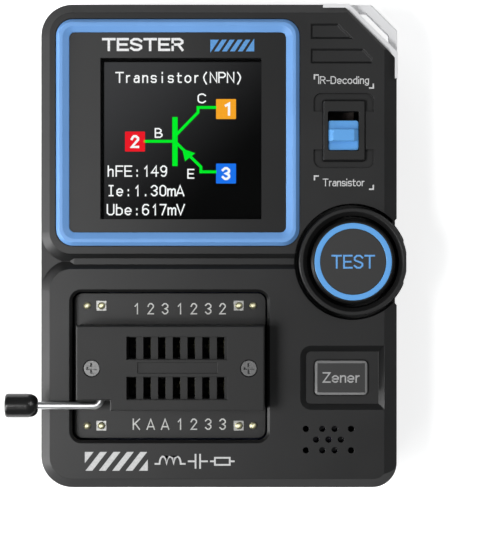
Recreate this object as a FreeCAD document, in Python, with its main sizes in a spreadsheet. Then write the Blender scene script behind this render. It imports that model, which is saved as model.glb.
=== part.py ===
"""Pocket component tester with a lever test socket, a colour display and two push buttons.

Millimetres. The tester lies on its back: +X is its right, +Y its top, +Z points out of its face,
and the origin is the middle of the flat rest face.
"""
import FreeCAD, Part
import math
import os
import re
import Sketcher

SIZES = {
    # case shells
    "case_width": 62.6, "case_length": 85.0, "case_depth": 22.0,
    "split_level": 9.0, "bevel_level": 20.4, "wall": 1.8, "roof_under": 20.2, "floor_top": 1.8,
    "corner_r": 5.5, "small_corner_r": 4.3, "corner_cut": 64.1, "cut_bevel": 0.45,
    "right_bevel_edge": 29.02, "back_bevel": 0.8, "seam_bevel": 0.2, "tongue": 0.8,
    "tongue_height": 0.9, "fit": 0.1,
    # groove between the two raised blocks of the face
    "upper_block_y": -1.39, "lower_block_y": -4.07, "block_corner_r": 3.8,
    "groove_floor": 21.2, "groove_start": -26.7, "groove_flat": -25.5,
    # posts and screws
    "post_left_x": -27.2, "post_top_x": 17.6, "post_low_x": 27.0, "post_y": 38.9, "post_r": 2.6,
    "screw_r": 1.0, "screw_head_r": 1.9, "screw_head_height": 1.4, "screw_seat": 2.6,
    "screw_tip": 15.0, "screw_hole_r": 2.2,
    # main board
    "board_low": 8.4, "board_top": 10.0, "board_inset": 2.3,
    # screen
    "bezel_left": -28.6, "bezel_right": 14.15, "bezel_low": 0.0, "bezel_high": 39.8, "bezel_r": 3.0,
    "bezel_band": 2.35, "bezel_inner_r": 1.0, "bezel_top": 22.8,
    "bezel_outer_slope": 0.9, "bezel_outer_drop": 0.65, "bezel_inner_slope": 1.15,
    "bezel_inner_drop": 0.6, "screen_seat": 20.9,
    "window_left": -20.8, "window_right": 7.47, "window_low": 4.65, "window_high": 32.96,
    "window_r": 0.3, "tape": 0.15, "lens_thick": 1.0,
    "panel_left": -22.3, "panel_right": 8.97, "panel_low": 0.9, "panel_high": 34.8,
    "panel_top": 19.9, "panel_under": 18.7, "light_under": 16.9, "carrier_under": 15.9,
    "carrier_wall": 1.2, "leg": 3.0, "flex_width": 14.0, "flex_thick": 0.25,
    # test button
    "test_x": 23.45, "test_y": -2.8, "tub_r": 10.19, "tub_wall": 1.2, "tub_under": 14.6,
    "tub_floor": 15.8, "collar_r": 9.45, "collar_bore": 8.07, "collar_band": 0.69,
    "collar_top": 24.2, "collar_flat": 9.3, "cap_r": 7.38, "cap_face": 24.4,
    "ring_out_r": 6.77, "ring_in_r": 5.76, "ring_depth": 0.8, "stem_r": 3.1, "stem_hole_r": 3.2,
    "side_cut_in": 1.4, "side_cut_reach": 6.2, "stem_bore": 2.1, "stem_end": 14.1,
    "hook_r": 3.7, "hook_height": 0.4, "hook_width": 2.2,
    # tactile switches under both buttons
    "tact_width": 6.0, "tact_top": 13.4, "tact_plunger_r": 1.75, "tact_tip": 15.0,
    # zener button
    "zener_left": 16.67, "zener_right": 26.21, "zener_low": -26.32, "zener_high": -20.0,
    "zener_r": 0.85, "zener_gap": 0.16, "zener_face": 22.2, "zener_flange": 0.9,
    "zener_stem_r": 2.0,
    "dish_left": 14.28, "dish_right": 29.1, "dish_low": -28.79, "dish_high": -17.53,
    "dish_depth": 0.9, "dish_taper": 49.0, "dish_r": 1.9,
    # mode switch
    "mode_left": 18.23, "mode_right": 25.73, "mode_low": 14.87, "mode_high": 25.59,
    "mode_hole_left": 19.12, "mode_hole_right": 24.59, "mode_hole_low": 16.69,
    "mode_hole_high": 23.59, "mode_frame_top": 22.35, "knob_width": 5.3, "knob_length": 5.16,
    "knob_low": 16.82, "knob_top": 21.7, "ridge_top": 22.9, "ridge_length": 2.0,
    "pocket_left": 16.6, "pocket_right": 27.23, "pocket_r": 1.39, "pocket_depth": 0.7,
    "pocket_reach": 1.2, "pocket_lap": 2.0, "mode_travel": 1.5,
    # small recesses and the infrared grille
    "recess_left": 16.1, "recess_right": 26.91, "recess_cut": 59.9, "recess_depth": 0.35,
    "recess_top_low": 36.3, "recess_top_high": 39.0, "recess_low_low": 32.0, "recess_low_high": 34.6,
    "grille_x": 19.23, "grille_y": -34.0, "grille_hole_r": 0.545, "grille_row": 1.88,
    "grille_step": 2.18, "grille_near": 1.08, "grille_far": 3.96,
    # socket bay and socket board
    "bay_x": -8.67, "bay_y": -21.15, "bay_width": 34.3, "bay_length": 26.1, "bay_r": 1.65,
    "bay_bevel": 0.45, "card_width": 33.74, "card_length": 25.57, "card_r": 1.4,
    "card_under": 17.4, "card_top": 19.0, "pin_out": 14.67, "pin_in": 12.13, "pin_row": 10.6,
    "pin_r": 0.32, "pin_head_r": 0.62, "pin_head": 0.7, "pad_size": 1.75, "pad_thick": 0.1,
    # lever socket
    "zif_left": -24.5, "zif_right": 7.92, "zif_low": -28.52, "zif_high": -13.86,
    "notch_x": -18.65, "notch_y": -26.68, "zif_split": 25.0, "zif_top": 29.7,
    "cell_x": -7.23, "pitch": 2.54, "row_high": -17.71, "row_low": -24.61, "row_length": 4.0,
    "cell_width": 1.29, "zif_window_left": -15.81, "zif_window_right": 1.52,
    "slider_top": 28.7, "slider_under": 25.1, "slider_left": -17.0, "slider_right": 2.3,
    "slider_low": -27.1, "slider_high": -15.2, "zif_screw_left": -21.83, "zif_screw_right": 5.25,
    "zif_screw_r": 0.8, "zif_head_r": 1.35, "zif_head_seat": 28.2, "zif_head_top": 29.45,
    "zif_screw_tip": 20.6,
    "label_left": -13.91, "label_right": -0.15, "label_low": -22.05, "label_high": -20.16,
    # lever
    "shaft_x": -20.58, "shaft_z": 23.7, "wire_r": 0.68, "crank_throw": 1.0, "arm_y": -27.92,
    "arm_bend_r": 1.22, "arm_end": -33.5, "crank_start": -25.1, "crank_web_end": -24.4,
    "crank_end": -22.95, "lug_left": -22.05, "lug_right": -18.9, "lug_under": 22.6,
    "shaft_fit": 0.06, "lever_knob_left": -37.31, "lever_knob_right": -31.6, "lever_knob_r": 2.12,
    "knob_dome": 1.84, "knob_nose_r": 0.85,
    # corner loop
    "loop_outer": 42.6, "loop_side": 31.45, "loop_tail_x": 18.32, "loop_tail_y": 29.48,
    "loop_cut": 69.6, "loop_low": 7.0, "loop_strap_low": 16.4, "loop_strap_top": 18.9,
    "loop_top": 21.0, "loop_strip": 1.0, "loop_band": 1.42,
    "slot_cut_in": 65.65, "slot_cut_out": 67.24, "trim_top": 0.6, "trim_side": 0.35,
    # power
    "usb_x": -10.0, "usb_width": 8.94, "usb_height": 3.2, "usb_length": 7.4, "usb_mouth": 42.0,
    "cell_left": -15.0, "cell_right": 15.0, "cell_low": -18.0, "cell_high": 22.0,
    "cell_under": 2.3, "cell_top": 6.3, "guard_under": 3.2, "guard_top": 4.4, "tab_thick": 0.15,
    # blank plate on the back
    "plate_width": 36.0, "plate_length": 20.0, "plate_y": 26.0, "plate_r": 1.0,
    "plate_seat": 0.3, "plate_gap": 0.1,
}

doc = FreeCAD.newDocument("ComponentTester")
sheet = doc.addObject("Spreadsheet::Sheet", "Sizes")
for row, (word, number) in enumerate(SIZES.items(), start=1):
    sheet.set(f"A{row}", word)
    sheet.set(f"B{row}", str(number))
    sheet.setAlias(f"B{row}", word)
doc.recompute()

pieces = {}


def cells(text):
    """The expression with each size word pointed at its cell in the sheet."""
    return re.sub(r"[a-z][a-z_]+", lambda m: "Sizes." + m[0] if m[0] in SIZES else m[0], str(text))


def value(text):
    """The number that an expression has now."""
    return float(sheet.evalExpression(cells(text)))


def rect(left, right, low, high, radius=None):
    """Corners of a rectangle, anticlockwise, with one corner radius."""
    spots = ((left, low), (right, low), (right, high), (left, high))
    return [spot + (radius,) if radius else spot for spot in spots]


def square(x, y, width, length, radius=None):
    """Corners of a rectangle about a centre."""
    return rect(f"{x}-({width})/2", f"{x}+({width})/2", f"{y}-({length})/2", f"{y}+({length})/2", radius)


def circle(x, y, radius):
    """A round loop for a sketch."""
    return {"x": x, "y": y, "radius": radius}


def case_outline(inset="0"):
    """The case's outline seen from the front, moved inwards, with the corner cut at 45 degrees."""
    left, right = f"-case_width/2+({inset})", f"case_width/2-({inset})"
    low, high = f"-case_length/2+({inset})", f"case_length/2-({inset})"
    cut = f"corner_cut-1.41421*({inset})"
    return [(left, low, f"corner_r-({inset})"), (right, low, f"small_corner_r-({inset})"),
            (right, f"{cut}-({right})"), (f"{cut}-({high})", high), (left, high, f"corner_r-({inset})")]


class Body:
    """A PartDesign body that grows by one sketched feature at a time."""

    def __init__(self, name):
        self.body = doc.addObject("PartDesign::Body", name)
        self.body.Label = name
        pieces[name] = self.body

    def sketch(self, name, plane, offset, loops, shift=("0", "0")):
        """A sketch on an origin plane, moved along its normal, with every size bound to the sheet."""
        sketch = self.body.newObject("Sketcher::SketchObject", name)
        origin = next(item for item in self.body.Origin.OriginFeatures if item.Role == plane)
        sketch.AttachmentSupport = (origin, [""])
        sketch.MapMode = "FlatFace"
        for axis, text in zip("xyz", (*shift, offset)):
            sketch.setExpression(f"AttachmentOffset.Base.{axis}", cells(text))
        for loop in loops:
            if isinstance(loop, dict):
                add_circle(sketch, loop)
            else:
                add_outline(sketch, loop)
        return sketch

    def feature(self, kind, name, offset, loops, length, plane="XY_Plane", flip=False, taper="0"):
        """A pad or pocket of a length, which has to change the body's volume."""
        before = self.body.Shape.Volume if self.body.Tip else 0.0
        sketch = self.sketch(name + "Sketch", plane, offset, loops)
        feature = self.body.newObject("PartDesign::" + kind, name)
        feature.Profile = sketch
        feature.setExpression("Length", cells(length))
        feature.setExpression("TaperAngle", cells(taper))
        feature.Reversed = flip
        doc.recompute()
        if abs(self.body.Shape.Volume - before) < 1e-4:
            raise RuntimeError(f"{self.body.Label}: {name} changes nothing")
        return feature

    def pad(self, name, offset, loops, length, **options):
        return self.feature("Pad", name, offset, loops, length, **options)

    def pocket(self, name, offset, loops, length, **options):
        return self.feature("Pocket", name, offset, loops, length, **options)

    def turned(self, name, plane, offset, shift, loop, axis):
        """A full revolution of a half section about one axis of its own shifted sketch."""
        sketch = self.sketch(name + "Sketch", plane, offset, [loop], shift)
        feature = self.body.newObject("PartDesign::Revolution", name)
        feature.Profile = sketch
        feature.ReferenceAxis = (sketch, [axis])
        feature.Angle = 360
        doc.recompute()
        return feature

    def row(self, name, feature, count, length):
        """A feature repeated along +X, the first and the last a length apart."""
        pattern = self.body.newObject("PartDesign::LinearPattern", name)
        pattern.Originals = [feature]
        axis = next(item for item in self.body.Origin.OriginFeatures if item.Role == "X_Axis")
        pattern.Direction = (axis, [""])
        pattern.setExpression("Length", cells(length))
        pattern.Occurrences = count
        self.body.Tip = pattern
        doc.recompute()
        return pattern

    def dress(self, kind, name, chosen, size, second=None):
        """A fillet or chamfer on the edges of the tip that the test chooses."""
        doc.recompute()
        tip = self.body.Tip
        names = [f"Edge{i}" for i, edge in enumerate(tip.Shape.Edges, start=1) if chosen(edge)]
        if not names:
            raise RuntimeError(f"{self.body.Label}: {name} found no edge")
        feature = self.body.newObject("PartDesign::" + kind, name)
        feature.Base = (tip, names)
        if kind == "Fillet":
            feature.setExpression("Radius", cells(size))
        else:
            feature.setExpression("Size", cells(size))
        if second:
            feature.ChamferType = "Two distances"
            feature.setExpression("Size2", cells(second))
        doc.recompute()
        return feature


def bind(sketch, kind, value_text, *places):
    """A dimension whose value follows the sheet."""
    number = sketch.addConstraint(Sketcher.Constraint(kind, *places, value(value_text)))
    sketch.setExpression(f"Constraints[{number}]", cells(value_text))


def add_circle(sketch, loop):
    """A circle with its centre and radius bound."""
    centre = FreeCAD.Vector(value(loop["x"]), value(loop["y"]), 0)
    number = sketch.addGeometry(Part.Circle(centre, FreeCAD.Vector(0, 0, 1), value(loop["radius"])))
    bind(sketch, "DistanceX", loop["x"], -1, 1, number, 3)
    bind(sketch, "DistanceY", loop["y"], -1, 1, number, 3)
    bind(sketch, "Radius", loop["radius"], number)


def add_outline(sketch, corners):
    """A closed outline. A corner with a radius joins a level side to an upright one."""
    count = len(corners)
    points = [FreeCAD.Vector(value(corner[0]), value(corner[1]), 0) for corner in corners]
    radii = [value(corner[2]) if len(corner) > 2 else 0.0 for corner in corners]
    ways = [(points[(i + 1) % count] - points[i]).normalize() for i in range(count)]
    lines = []
    for i in range(count):
        start = points[i] + ways[i] * radii[i]
        end = points[(i + 1) % count] - ways[i] * radii[(i + 1) % count]
        lines.append(sketch.addGeometry(Part.LineSegment(start, end)))
    for i, corner in enumerate(corners):
        before, after = lines[i - 1], lines[i]
        way_in, way_out = ways[i - 1], ways[i]
        if not radii[i]:
            sketch.addConstraint(Sketcher.Constraint("Coincident", before, 2, after, 1))
            upright = [side for side in (i - 1, i) if abs(ways[side].x) < 1e-9]
            level = [side for side in (i - 1, i) if abs(ways[side].y) < 1e-9]
            if not upright:
                bind(sketch, "DistanceX", corner[0], -1, 1, after, 1)
            if not level:
                bind(sketch, "DistanceY", corner[1], -1, 1, after, 1)
            continue
        centre = points[i] + (way_out - way_in) * radii[i]
        first, last = points[i] - way_in * radii[i], points[i] + way_out * radii[i]
        left_turn = way_in.cross(way_out).z > 0
        begin, finish = (first, last) if left_turn else (last, first)
        angles = [math.atan2(spot.y - centre.y, spot.x - centre.x) for spot in (begin, finish)]
        if angles[1] < angles[0]:
            angles[1] += 2 * math.pi
        ring = Part.Circle(centre, FreeCAD.Vector(0, 0, 1), radii[i])
        arc = sketch.addGeometry(Part.ArcOfCircle(ring, *angles))
        ends = (1, 2) if left_turn else (2, 1)
        sketch.addConstraint(Sketcher.Constraint("Tangent", before, 2, arc, ends[0]))
        sketch.addConstraint(Sketcher.Constraint("Tangent", after, 1, arc, ends[1]))
        bind(sketch, "Radius", corner[2], arc)
    for i, line in enumerate(lines):
        if abs(ways[i].x) < 1e-9:
            sketch.addConstraint(Sketcher.Constraint("Vertical", line))
            bind(sketch, "DistanceX", corners[i][0], -1, 1, line, 1)
        elif abs(ways[i].y) < 1e-9:
            sketch.addConstraint(Sketcher.Constraint("Horizontal", line))
            bind(sketch, "DistanceY", corners[i][1], -1, 1, line, 1)


def place(item, x, y, z):
    """Bind where a primitive stands."""
    for axis, text in (("x", x), ("y", y), ("z", z)):
        item.setExpression(f"Placement.Base.{axis}", cells(text))


def block(name, left, right, low, high, under, top):
    """A box between six bound planes."""
    item = doc.addObject("Part::Box", name)
    for edge, first, last in (("Length", left, right), ("Width", low, high), ("Height", under, top)):
        item.setExpression(edge, cells(f"({last})-({first})"))
    place(item, left, low, under)
    return item


def rod(name, x, y, under, top, radius):
    """A round bar that stands upright."""
    item = doc.addObject("Part::Cylinder", name)
    item.setExpression("Radius", cells(radius))
    item.setExpression("Height", cells(f"({top})-({under})"))
    place(item, x, y, under)
    return item


def bar(name, axis, start, end, across, level, radius):
    """A round bar along X or Y, at a place across it and a level."""
    item = doc.addObject("Part::Cylinder", name)
    item.setExpression("Radius", cells(radius))
    item.setExpression("Height", cells(f"({end})-({start})"))
    turn, angle = ((0, 1, 0), 90) if axis == "X" else ((1, 0, 0), -90)
    item.Placement.Rotation = FreeCAD.Rotation(FreeCAD.Vector(*turn), angle)
    place(item, *((start, across) if axis == "X" else (across, start)), level)
    return item


def fuse(name, *items):
    """One solid from items that touch."""
    item = doc.addObject("Part::MultiFuse", name)
    item.Shapes = list(items)
    item.Refine = True
    return item


def cut(name, base, *tools):
    """A base with tools taken away."""
    tool = tools[0]
    if len(tools) > 1:
        tool = doc.addObject("Part::MultiFuse", name + "Tools")
        tool.Shapes = list(tools)
    item = doc.addObject("Part::Cut", name)
    item.Base = base
    item.Tool = tool
    return item


def keep(name, item):
    """Name a finished sub-part."""
    item.Label = name
    pieces[name] = item
    return item


def group(name, items):
    """Like pieces that stay separate solids in one sub-part."""
    item = doc.addObject("Part::Compound", name)
    item.Links = list(items)
    return keep(name, item)


def level_edge(edge, level):
    """True for an edge that lies at one level."""
    box = edge.BoundBox
    return abs(box.ZMin - level) < 1e-4 and abs(box.ZMax - level) < 1e-4


LEFT, RIGHT = "-case_width/2", "case_width/2"
LOW, HIGH = "-case_length/2", "case_length/2"
POSTS = (("post_left_x", "post_y"), ("post_top_x", "post_y"),
         ("post_left_x", "-post_y"), ("post_low_x", "-post_y"))
TEST = ("test_x", "test_y")
ZENER = ("(zener_left+zener_right)/2", "(zener_low+zener_high)/2")
MODE = ("(mode_hole_left+mode_hole_right)/2", "knob_low+knob_length/2")
PANEL_X = "(panel_left+panel_right)/2"


def posts(radius):
    """One circle at each case screw."""
    return [circle(x, y, radius) for x, y in POSTS]


def make_rear_cover():
    """A tray with a tongue that enters the front cover, four screw posts and ribs round the cell."""
    body = Body("rear_cover")
    body.pad("Tray", "0", [case_outline()], "split_level")
    body.dress("Chamfer", "BackBevel", lambda edge: level_edge(edge, 0), "back_bevel")
    body.dress("Chamfer", "SeamBevel", lambda edge: level_edge(edge, value("split_level")), "seam_bevel")
    body.pocket("Inside", "split_level", [case_outline("wall")], "split_level-floor_top")
    body.pad("Tongue", "split_level", [case_outline("wall-tongue"), case_outline("wall")], "tongue_height")
    body.pad("Posts", "floor_top-0.2", posts("post_r+0.6"), "board_low-floor_top+0.2")
    body.pocket("ScrewWays", "board_low", posts("screw_r+fit"), "board_low")
    body.pocket("HeadWays", "0", posts("screw_hole_r"), "screw_seat", flip=True)
    snug = ("cell_left-0.3", "cell_right+0.3", "cell_low-0.3", "cell_high+4")
    outside = ("cell_left-1.3", "cell_right+1.3", "cell_low-1.3", "cell_high+5")
    body.pad("CellRibs", "floor_top-0.2", [rect(*outside), rect(*snug)], "2.5")
    seat = square("0", "plate_y", "plate_width+2*plate_gap", "plate_length+2*plate_gap",
                  "plate_r+plate_gap")
    body.pocket("PlateSeat", "0", [seat], "plate_seat", flip=True)
    add_trim_seat(body, "split_level", "split_level-loop_low")


def add_trim_seat(body, level, depth):
    """The low step in the case's sides where the corner loop's tails lie."""
    top = rect("loop_tail_x", f"{RIGHT}+3", f"{HIGH}-trim_top", f"{HIGH}+3")
    side = rect(f"{RIGHT}-trim_side", f"{RIGHT}+3", "loop_tail_y", f"{HIGH}-2")
    body.pocket("TopTrimSeat", level, [top], depth)
    body.pocket("SideTrimSeat", level, [side], depth)


def make_front_cover():
    """The face: two raised blocks with a groove between them, a round tub and the openings."""
    body = Body("front_cover")
    rise = "(case_depth-bevel_level)"
    body.pad("Walls", "split_level", [case_outline()], "bevel_level-split_level")
    body.dress("Chamfer", "SeamBevel", lambda edge: level_edge(edge, value("split_level")), "seam_bevel")
    add_face_blocks(body, rise)
    body.pocket("Cavity", "split_level", [case_outline("wall")], "roof_under-split_level", flip=True)
    body.pocket("Rebate", "split_level", [case_outline("wall-tongue-fit")], "tongue_height+fit", flip=True)
    backing = rect(f"{LEFT}+wall/2", "groove_flat+0.5", "lower_block_y-4.2", "upper_block_y+4.2")
    body.pad("GrooveBacking", "roof_under", [backing], "1", flip=True)
    add_tub(body)
    body.pad("ScrewPosts", "board_top", posts("post_r"), "roof_under-board_top+0.2")
    body.pocket("ScrewHoles", "board_top", posts("screw_r+0.02"), "screw_tip-board_top+1", flip=True)
    add_face_openings(body)
    add_trim_seat(body, "case_depth", "case_depth-split_level")
    port = square("usb_x", "board_top+usb_height/2", "usb_width+0.5", "usb_height+0.5", "usb_height/2")
    body.pocket("PortHole", f"-({HIGH}+1)", [port], "wall+1.5", plane="XZ_Plane", flip=True)


def add_face_blocks(body, rise):
    """Blocks whose sides lean in at 45 degrees, and the groove floor that ramps up from the left."""
    foot = f"block_corner_r+{rise}"
    upper_foot, lower_foot = f"upper_block_y-{rise}", f"lower_block_y+{rise}"
    cut = f"corner_cut+1.41421*({rise}-cut_bevel)"
    upper = [(LEFT, upper_foot, foot), (RIGHT, upper_foot), (RIGHT, f"{cut}-({RIGHT})"),
             (f"{cut}-({HIGH})", HIGH), (LEFT, HIGH, "corner_r")]
    lower = [(LEFT, LOW, "corner_r"), (RIGHT, LOW, "small_corner_r"), (RIGHT, lower_foot),
             (LEFT, lower_foot, foot)]
    body.pad("UpperBlock", "bevel_level", [upper], rise, taper="-45")
    body.pad("LowerBlock", "bevel_level", [lower], rise, taper="-45")
    beyond = [(f"corner_cut-({HIGH}+4)", f"{HIGH}+4"), (f"{RIGHT}+4", f"corner_cut-({RIGHT}+4)"),
              (f"{RIGHT}+4", f"{HIGH}+4")]
    body.pocket("CutCorner", "case_depth", [beyond], rise)
    ramp = [("groove_start", "bevel_level-0.1"), (RIGHT, "bevel_level-0.1"), (RIGHT, "groove_floor"),
            ("groove_flat", "groove_floor"), ("groove_start", "bevel_level")]
    body.pad("GrooveFloor", "-(upper_block_y-0.5)", [ramp], "upper_block_y-lower_block_y-1",
             plane="XZ_Plane")
    slope = [("right_bevel_edge", "case_depth"), (RIGHT, "bevel_level"), (RIGHT, "case_depth")]
    body.pocket("RightBevel", f"{HIGH}+1", [slope], "case_length+2", plane="XZ_Plane")


def add_tub(body):
    """The round tub for the test button, open at the case's side, with its stem hole."""
    reach = "tub_r+tub_wall"
    body.pad("Tub", "tub_under", [circle(*TEST, reach)], "bevel_level-tub_under")
    beyond = rect(RIGHT, f"{RIGHT}+9", f"test_y-{reach}-1", f"test_y+{reach}+1")
    body.pocket("TubSide", "case_depth+1", [beyond], "case_depth+1-tub_under")
    body.pad("TubShelf", "tub_under", [circle(*TEST, "tub_r-fit")], "tub_floor-tub_under")
    past = rect("test_x+collar_flat", "test_x+collar_flat+3", "test_y-6", "test_y+6")
    body.pocket("ShelfFlat", "tub_floor", [past], "tub_floor-tub_under")
    body.pocket("TubBore", "case_depth", [circle(*TEST, "tub_r")], "case_depth-tub_floor")
    body.pocket("StemHole", "tub_floor", [circle(*TEST, "stem_hole_r")], "tub_floor-tub_under")
    near, far = "case_width/2-side_cut_in", "case_width/2+0.6"
    for name, sign in (("UpperSideCut", "+"), ("LowerSideCut", "-")):
        level = f"test_y{sign}side_cut_reach"
        tip = f"test_y{sign}(side_cut_reach+side_cut_in+0.6)"
        body.pocket(name, "case_depth", [[(near, level), (far, level), (far, tip)]], "case_depth-tub_floor")


def add_face_openings(body):
    """Every recess and opening in the face."""
    seat = rect("bezel_left-fit", "bezel_right+fit", "bezel_low-fit", "bezel_high+fit", "bezel_r+fit")
    body.pocket("ScreenSeat", "case_depth", [seat], "case_depth-screen_seat")
    window = rect("window_left", "window_right", "window_low", "window_high", "window_r")
    body.pocket("ScreenWindow", "screen_seat", [window], "screen_seat-roof_under")

    bay = square("bay_x", "bay_y", "bay_width", "bay_length", "bay_r")
    rim = square("bay_x", "bay_y", "bay_width+2*bay_bevel", "bay_length+2*bay_bevel", "bay_r+bay_bevel")
    body.pocket("BayBevel", "case_depth", [rim], "bay_bevel", taper="-45")
    body.pocket("Bay", "case_depth", [bay], "case_depth-roof_under+1")

    dish = [("dish_left", "dish_low", "dish_r"), ("dish_right", "dish_low"), ("dish_right", "dish_high"),
            ("dish_left", "dish_high", "dish_r")]
    body.pocket("ZenerDish", "case_depth", [dish], "dish_depth", taper="-dish_taper")
    hole = rect("zener_left", "zener_right", "zener_low", "zener_high", "zener_r")
    body.pocket("ZenerHole", "case_depth", [hole], "case_depth-roof_under")

    left, right = "pocket_left", "pocket_right"
    above, below = "mode_high+pocket_reach", "mode_low-pocket_reach"
    upper = [(left, "mode_high-pocket_lap"), (right, "mode_high-pocket_lap"), (right, above, "pocket_r"),
             (left, above, "pocket_r")]
    lower = [(left, below, "pocket_r"), (right, below, "pocket_r"), (right, "mode_low+pocket_lap"),
             (left, "mode_low+pocket_lap")]
    body.pocket("ModePockets", "case_depth", [upper, lower], "pocket_depth")
    opening = rect("mode_left-fit/2", "mode_right+fit/2", "mode_low-fit/2", "mode_high+fit/2", "0.4")
    body.pocket("ModeOpening", "case_depth", [opening], "case_depth-roof_under")

    low, high = "recess_top_low", "recess_top_high"
    first = [("recess_left", low), (f"recess_cut-{low}", low), (f"recess_cut-{high}", high),
             ("recess_left", high)]
    low, high = "recess_low_low", "recess_low_high"
    second = [("recess_left", low), ("recess_right", low), ("recess_right", "recess_cut-recess_right"),
              (f"recess_cut-{high}", high), ("recess_left", high)]
    body.pocket("UpperRecess", "case_depth", [first], "recess_depth", taper="-45")
    body.pocket("LowerRecess", "case_depth", [second], "recess_depth", taper="-45")

    holes = []
    for row in (-1, 1):
        for step in ("-grille_far", "-grille_near", "grille_near", "grille_far"):
            holes.append(circle(f"grille_x+({step})", f"grille_y+({row}*grille_row)", "grille_hole_r"))
    for step in (-1, 0, 1):
        holes.append(circle(f"grille_x+({step}*grille_step)", "grille_y", "grille_hole_r"))
    body.pocket("Grille", "case_depth", holes, "case_depth-roof_under")


def make_lanyard_loop():
    """A corner trim with two tails and a lower strap that leaves a slot for a strap or cord."""
    body = Body("lanyard_loop")
    top, side = f"{HIGH}-trim_top", f"{RIGHT}-trim_side"
    strip = "corner_cut+1.41421*loop_strip"
    trim = [("loop_tail_x", "loop_outer"), ("loop_tail_x", top), (f"corner_cut-({top})", top),
            (side, f"corner_cut-({side})"), (side, "loop_tail_y"), ("loop_side", "loop_tail_y"),
            ("loop_side", f"{strip}-loop_side"), (f"{strip}-loop_outer", "loop_outer")]
    body.pad("Trim", "loop_low", [trim], "loop_top-loop_low")
    root = "corner_cut+0.7*loop_strip"
    strap = [(f"{root}-loop_outer", "loop_outer"), ("loop_side", f"{root}-loop_side"),
             ("loop_side", "loop_cut-loop_side"), ("loop_cut-loop_outer", "loop_outer")]
    body.pad("Strap", "loop_strap_low", [strap], "loop_strap_top-loop_strap_low")
    inner, outer = "slot_cut_in", "slot_cut_out"
    edge_y, edge_x = "loop_outer-loop_band", "loop_side-loop_band"
    slot = [(f"{inner}-({edge_y})", edge_y), (edge_x, f"{inner}-({edge_x})"),
            (edge_x, f"{outer}-({edge_x})"), (f"{outer}-({edge_y})", edge_y)]
    body.pocket("Slot", "loop_top", [slot], "loop_top-loop_low")
    body.dress("Chamfer", "StrapEdges", strap_edge, "0.25")


def strap_edge(edge):
    """True for the strap's long outer edges, top and bottom."""
    middle = edge.CenterOfMass
    level = any(abs(middle.z - value(word)) < 1e-4 for word in ("loop_strap_low", "loop_strap_top"))
    return level and middle.x + middle.y > value("loop_cut-1.0")


def make_screen():
    """The bezel, lens and tape in front of the case, and the display stack behind its window."""
    body = Body("screen_bezel")
    outer = rect("bezel_left", "bezel_right", "bezel_low", "bezel_high", "bezel_r")
    inside = ("bezel_left+bezel_band", "bezel_right-bezel_band", "bezel_low+bezel_band",
              "bezel_high-bezel_band")
    body.pad("Ring", "screen_seat", [outer, rect(*inside, "bezel_inner_r")], "bezel_top-screen_seat")
    body.dress("Chamfer", "OuterSlope", bezel_edge(True), "bezel_outer_slope", "bezel_outer_drop")
    body.dress("Chamfer", "InnerSlope", bezel_edge(False), "bezel_inner_slope", "bezel_inner_drop")

    glass = [f"{text}{way}fit/2" for text, way in zip(inside, "+-+-")]
    body = Body("screen_lens")
    body.pad("Plate", "screen_seat+tape", [rect(*glass, "bezel_inner_r")], "lens_thick")
    body = Body("lens_tape")
    window = rect("window_left", "window_right", "window_low", "window_high", "window_r")
    body.pad("Tape", "screen_seat", [rect(*glass, "bezel_inner_r"), window], "tape")

    body = Body("display_gasket")
    foam = rect("window_left-1.2", "window_right+1.2", "window_low-1.2", "window_high+1.2", "0.5")
    body.pad("Foam", "panel_top", [foam, window], "roof_under-panel_top")
    keep("display_panel", block("DisplayPanel", "panel_left", "panel_right", "panel_low", "panel_high",
                                "panel_under", "panel_top"))
    keep("display_backlight", block("DisplayBacklight", "panel_left", "panel_right", "panel_low+1.8",
                                    "panel_high", "light_under", "panel_under"))
    make_display_carrier()
    make_display_flex()


def bezel_edge(outside):
    """A test for the outer or the inner loop of the bezel's top edges."""
    def chosen(edge):
        middle = edge.CenterOfMass
        centre_x, centre_y = value("(bezel_left+bezel_right)/2"), value("(bezel_low+bezel_high)/2")
        reach_x = abs(middle.x - centre_x) - value("(bezel_right-bezel_left)/2")
        reach_y = abs(middle.y - centre_y) - value("(bezel_high-bezel_low)/2")
        return level_edge(edge, value("bezel_top")) and (max(reach_x, reach_y) > -1.6) == outside
    return chosen


def make_display_carrier():
    """A tray on four legs that holds the display above the main board."""
    body = Body("display_carrier")
    outer = ("panel_left-carrier_wall", "panel_right+carrier_wall", "panel_low-carrier_wall",
             "panel_high+carrier_wall")
    body.pad("Tray", "carrier_under", [rect(*outer, "0.8")], "panel_top-0.2-carrier_under")
    inner = rect("panel_left-0.05", "panel_right+0.05", "panel_low-0.05", "panel_high+0.05")
    body.pocket("Bed", "panel_top", [inner], "panel_top-light_under")
    light = rect("panel_left+5", "panel_right-5", "panel_low+6", "panel_high-6", "2")
    body.pocket("Lightening", "light_under", [light], "light_under-carrier_under")
    gate = square(PANEL_X, "panel_low-carrier_wall/2", "flex_width+0.8", "carrier_wall+0.4")
    body.pocket("FlexGate", "panel_top", [gate], "panel_top-light_under-0.9")
    legs = []
    for left, right in ((outer[0], f"{outer[0]}+leg"), (f"{outer[1]}-leg", outer[1])):
        legs.append(rect(left, right, outer[2], f"{outer[2]}+leg"))
        legs.append(rect(left, right, f"{outer[3]}-leg", outer[3]))
    body.pad("Legs", "board_top", legs, "carrier_under-board_top+0.3")


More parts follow.
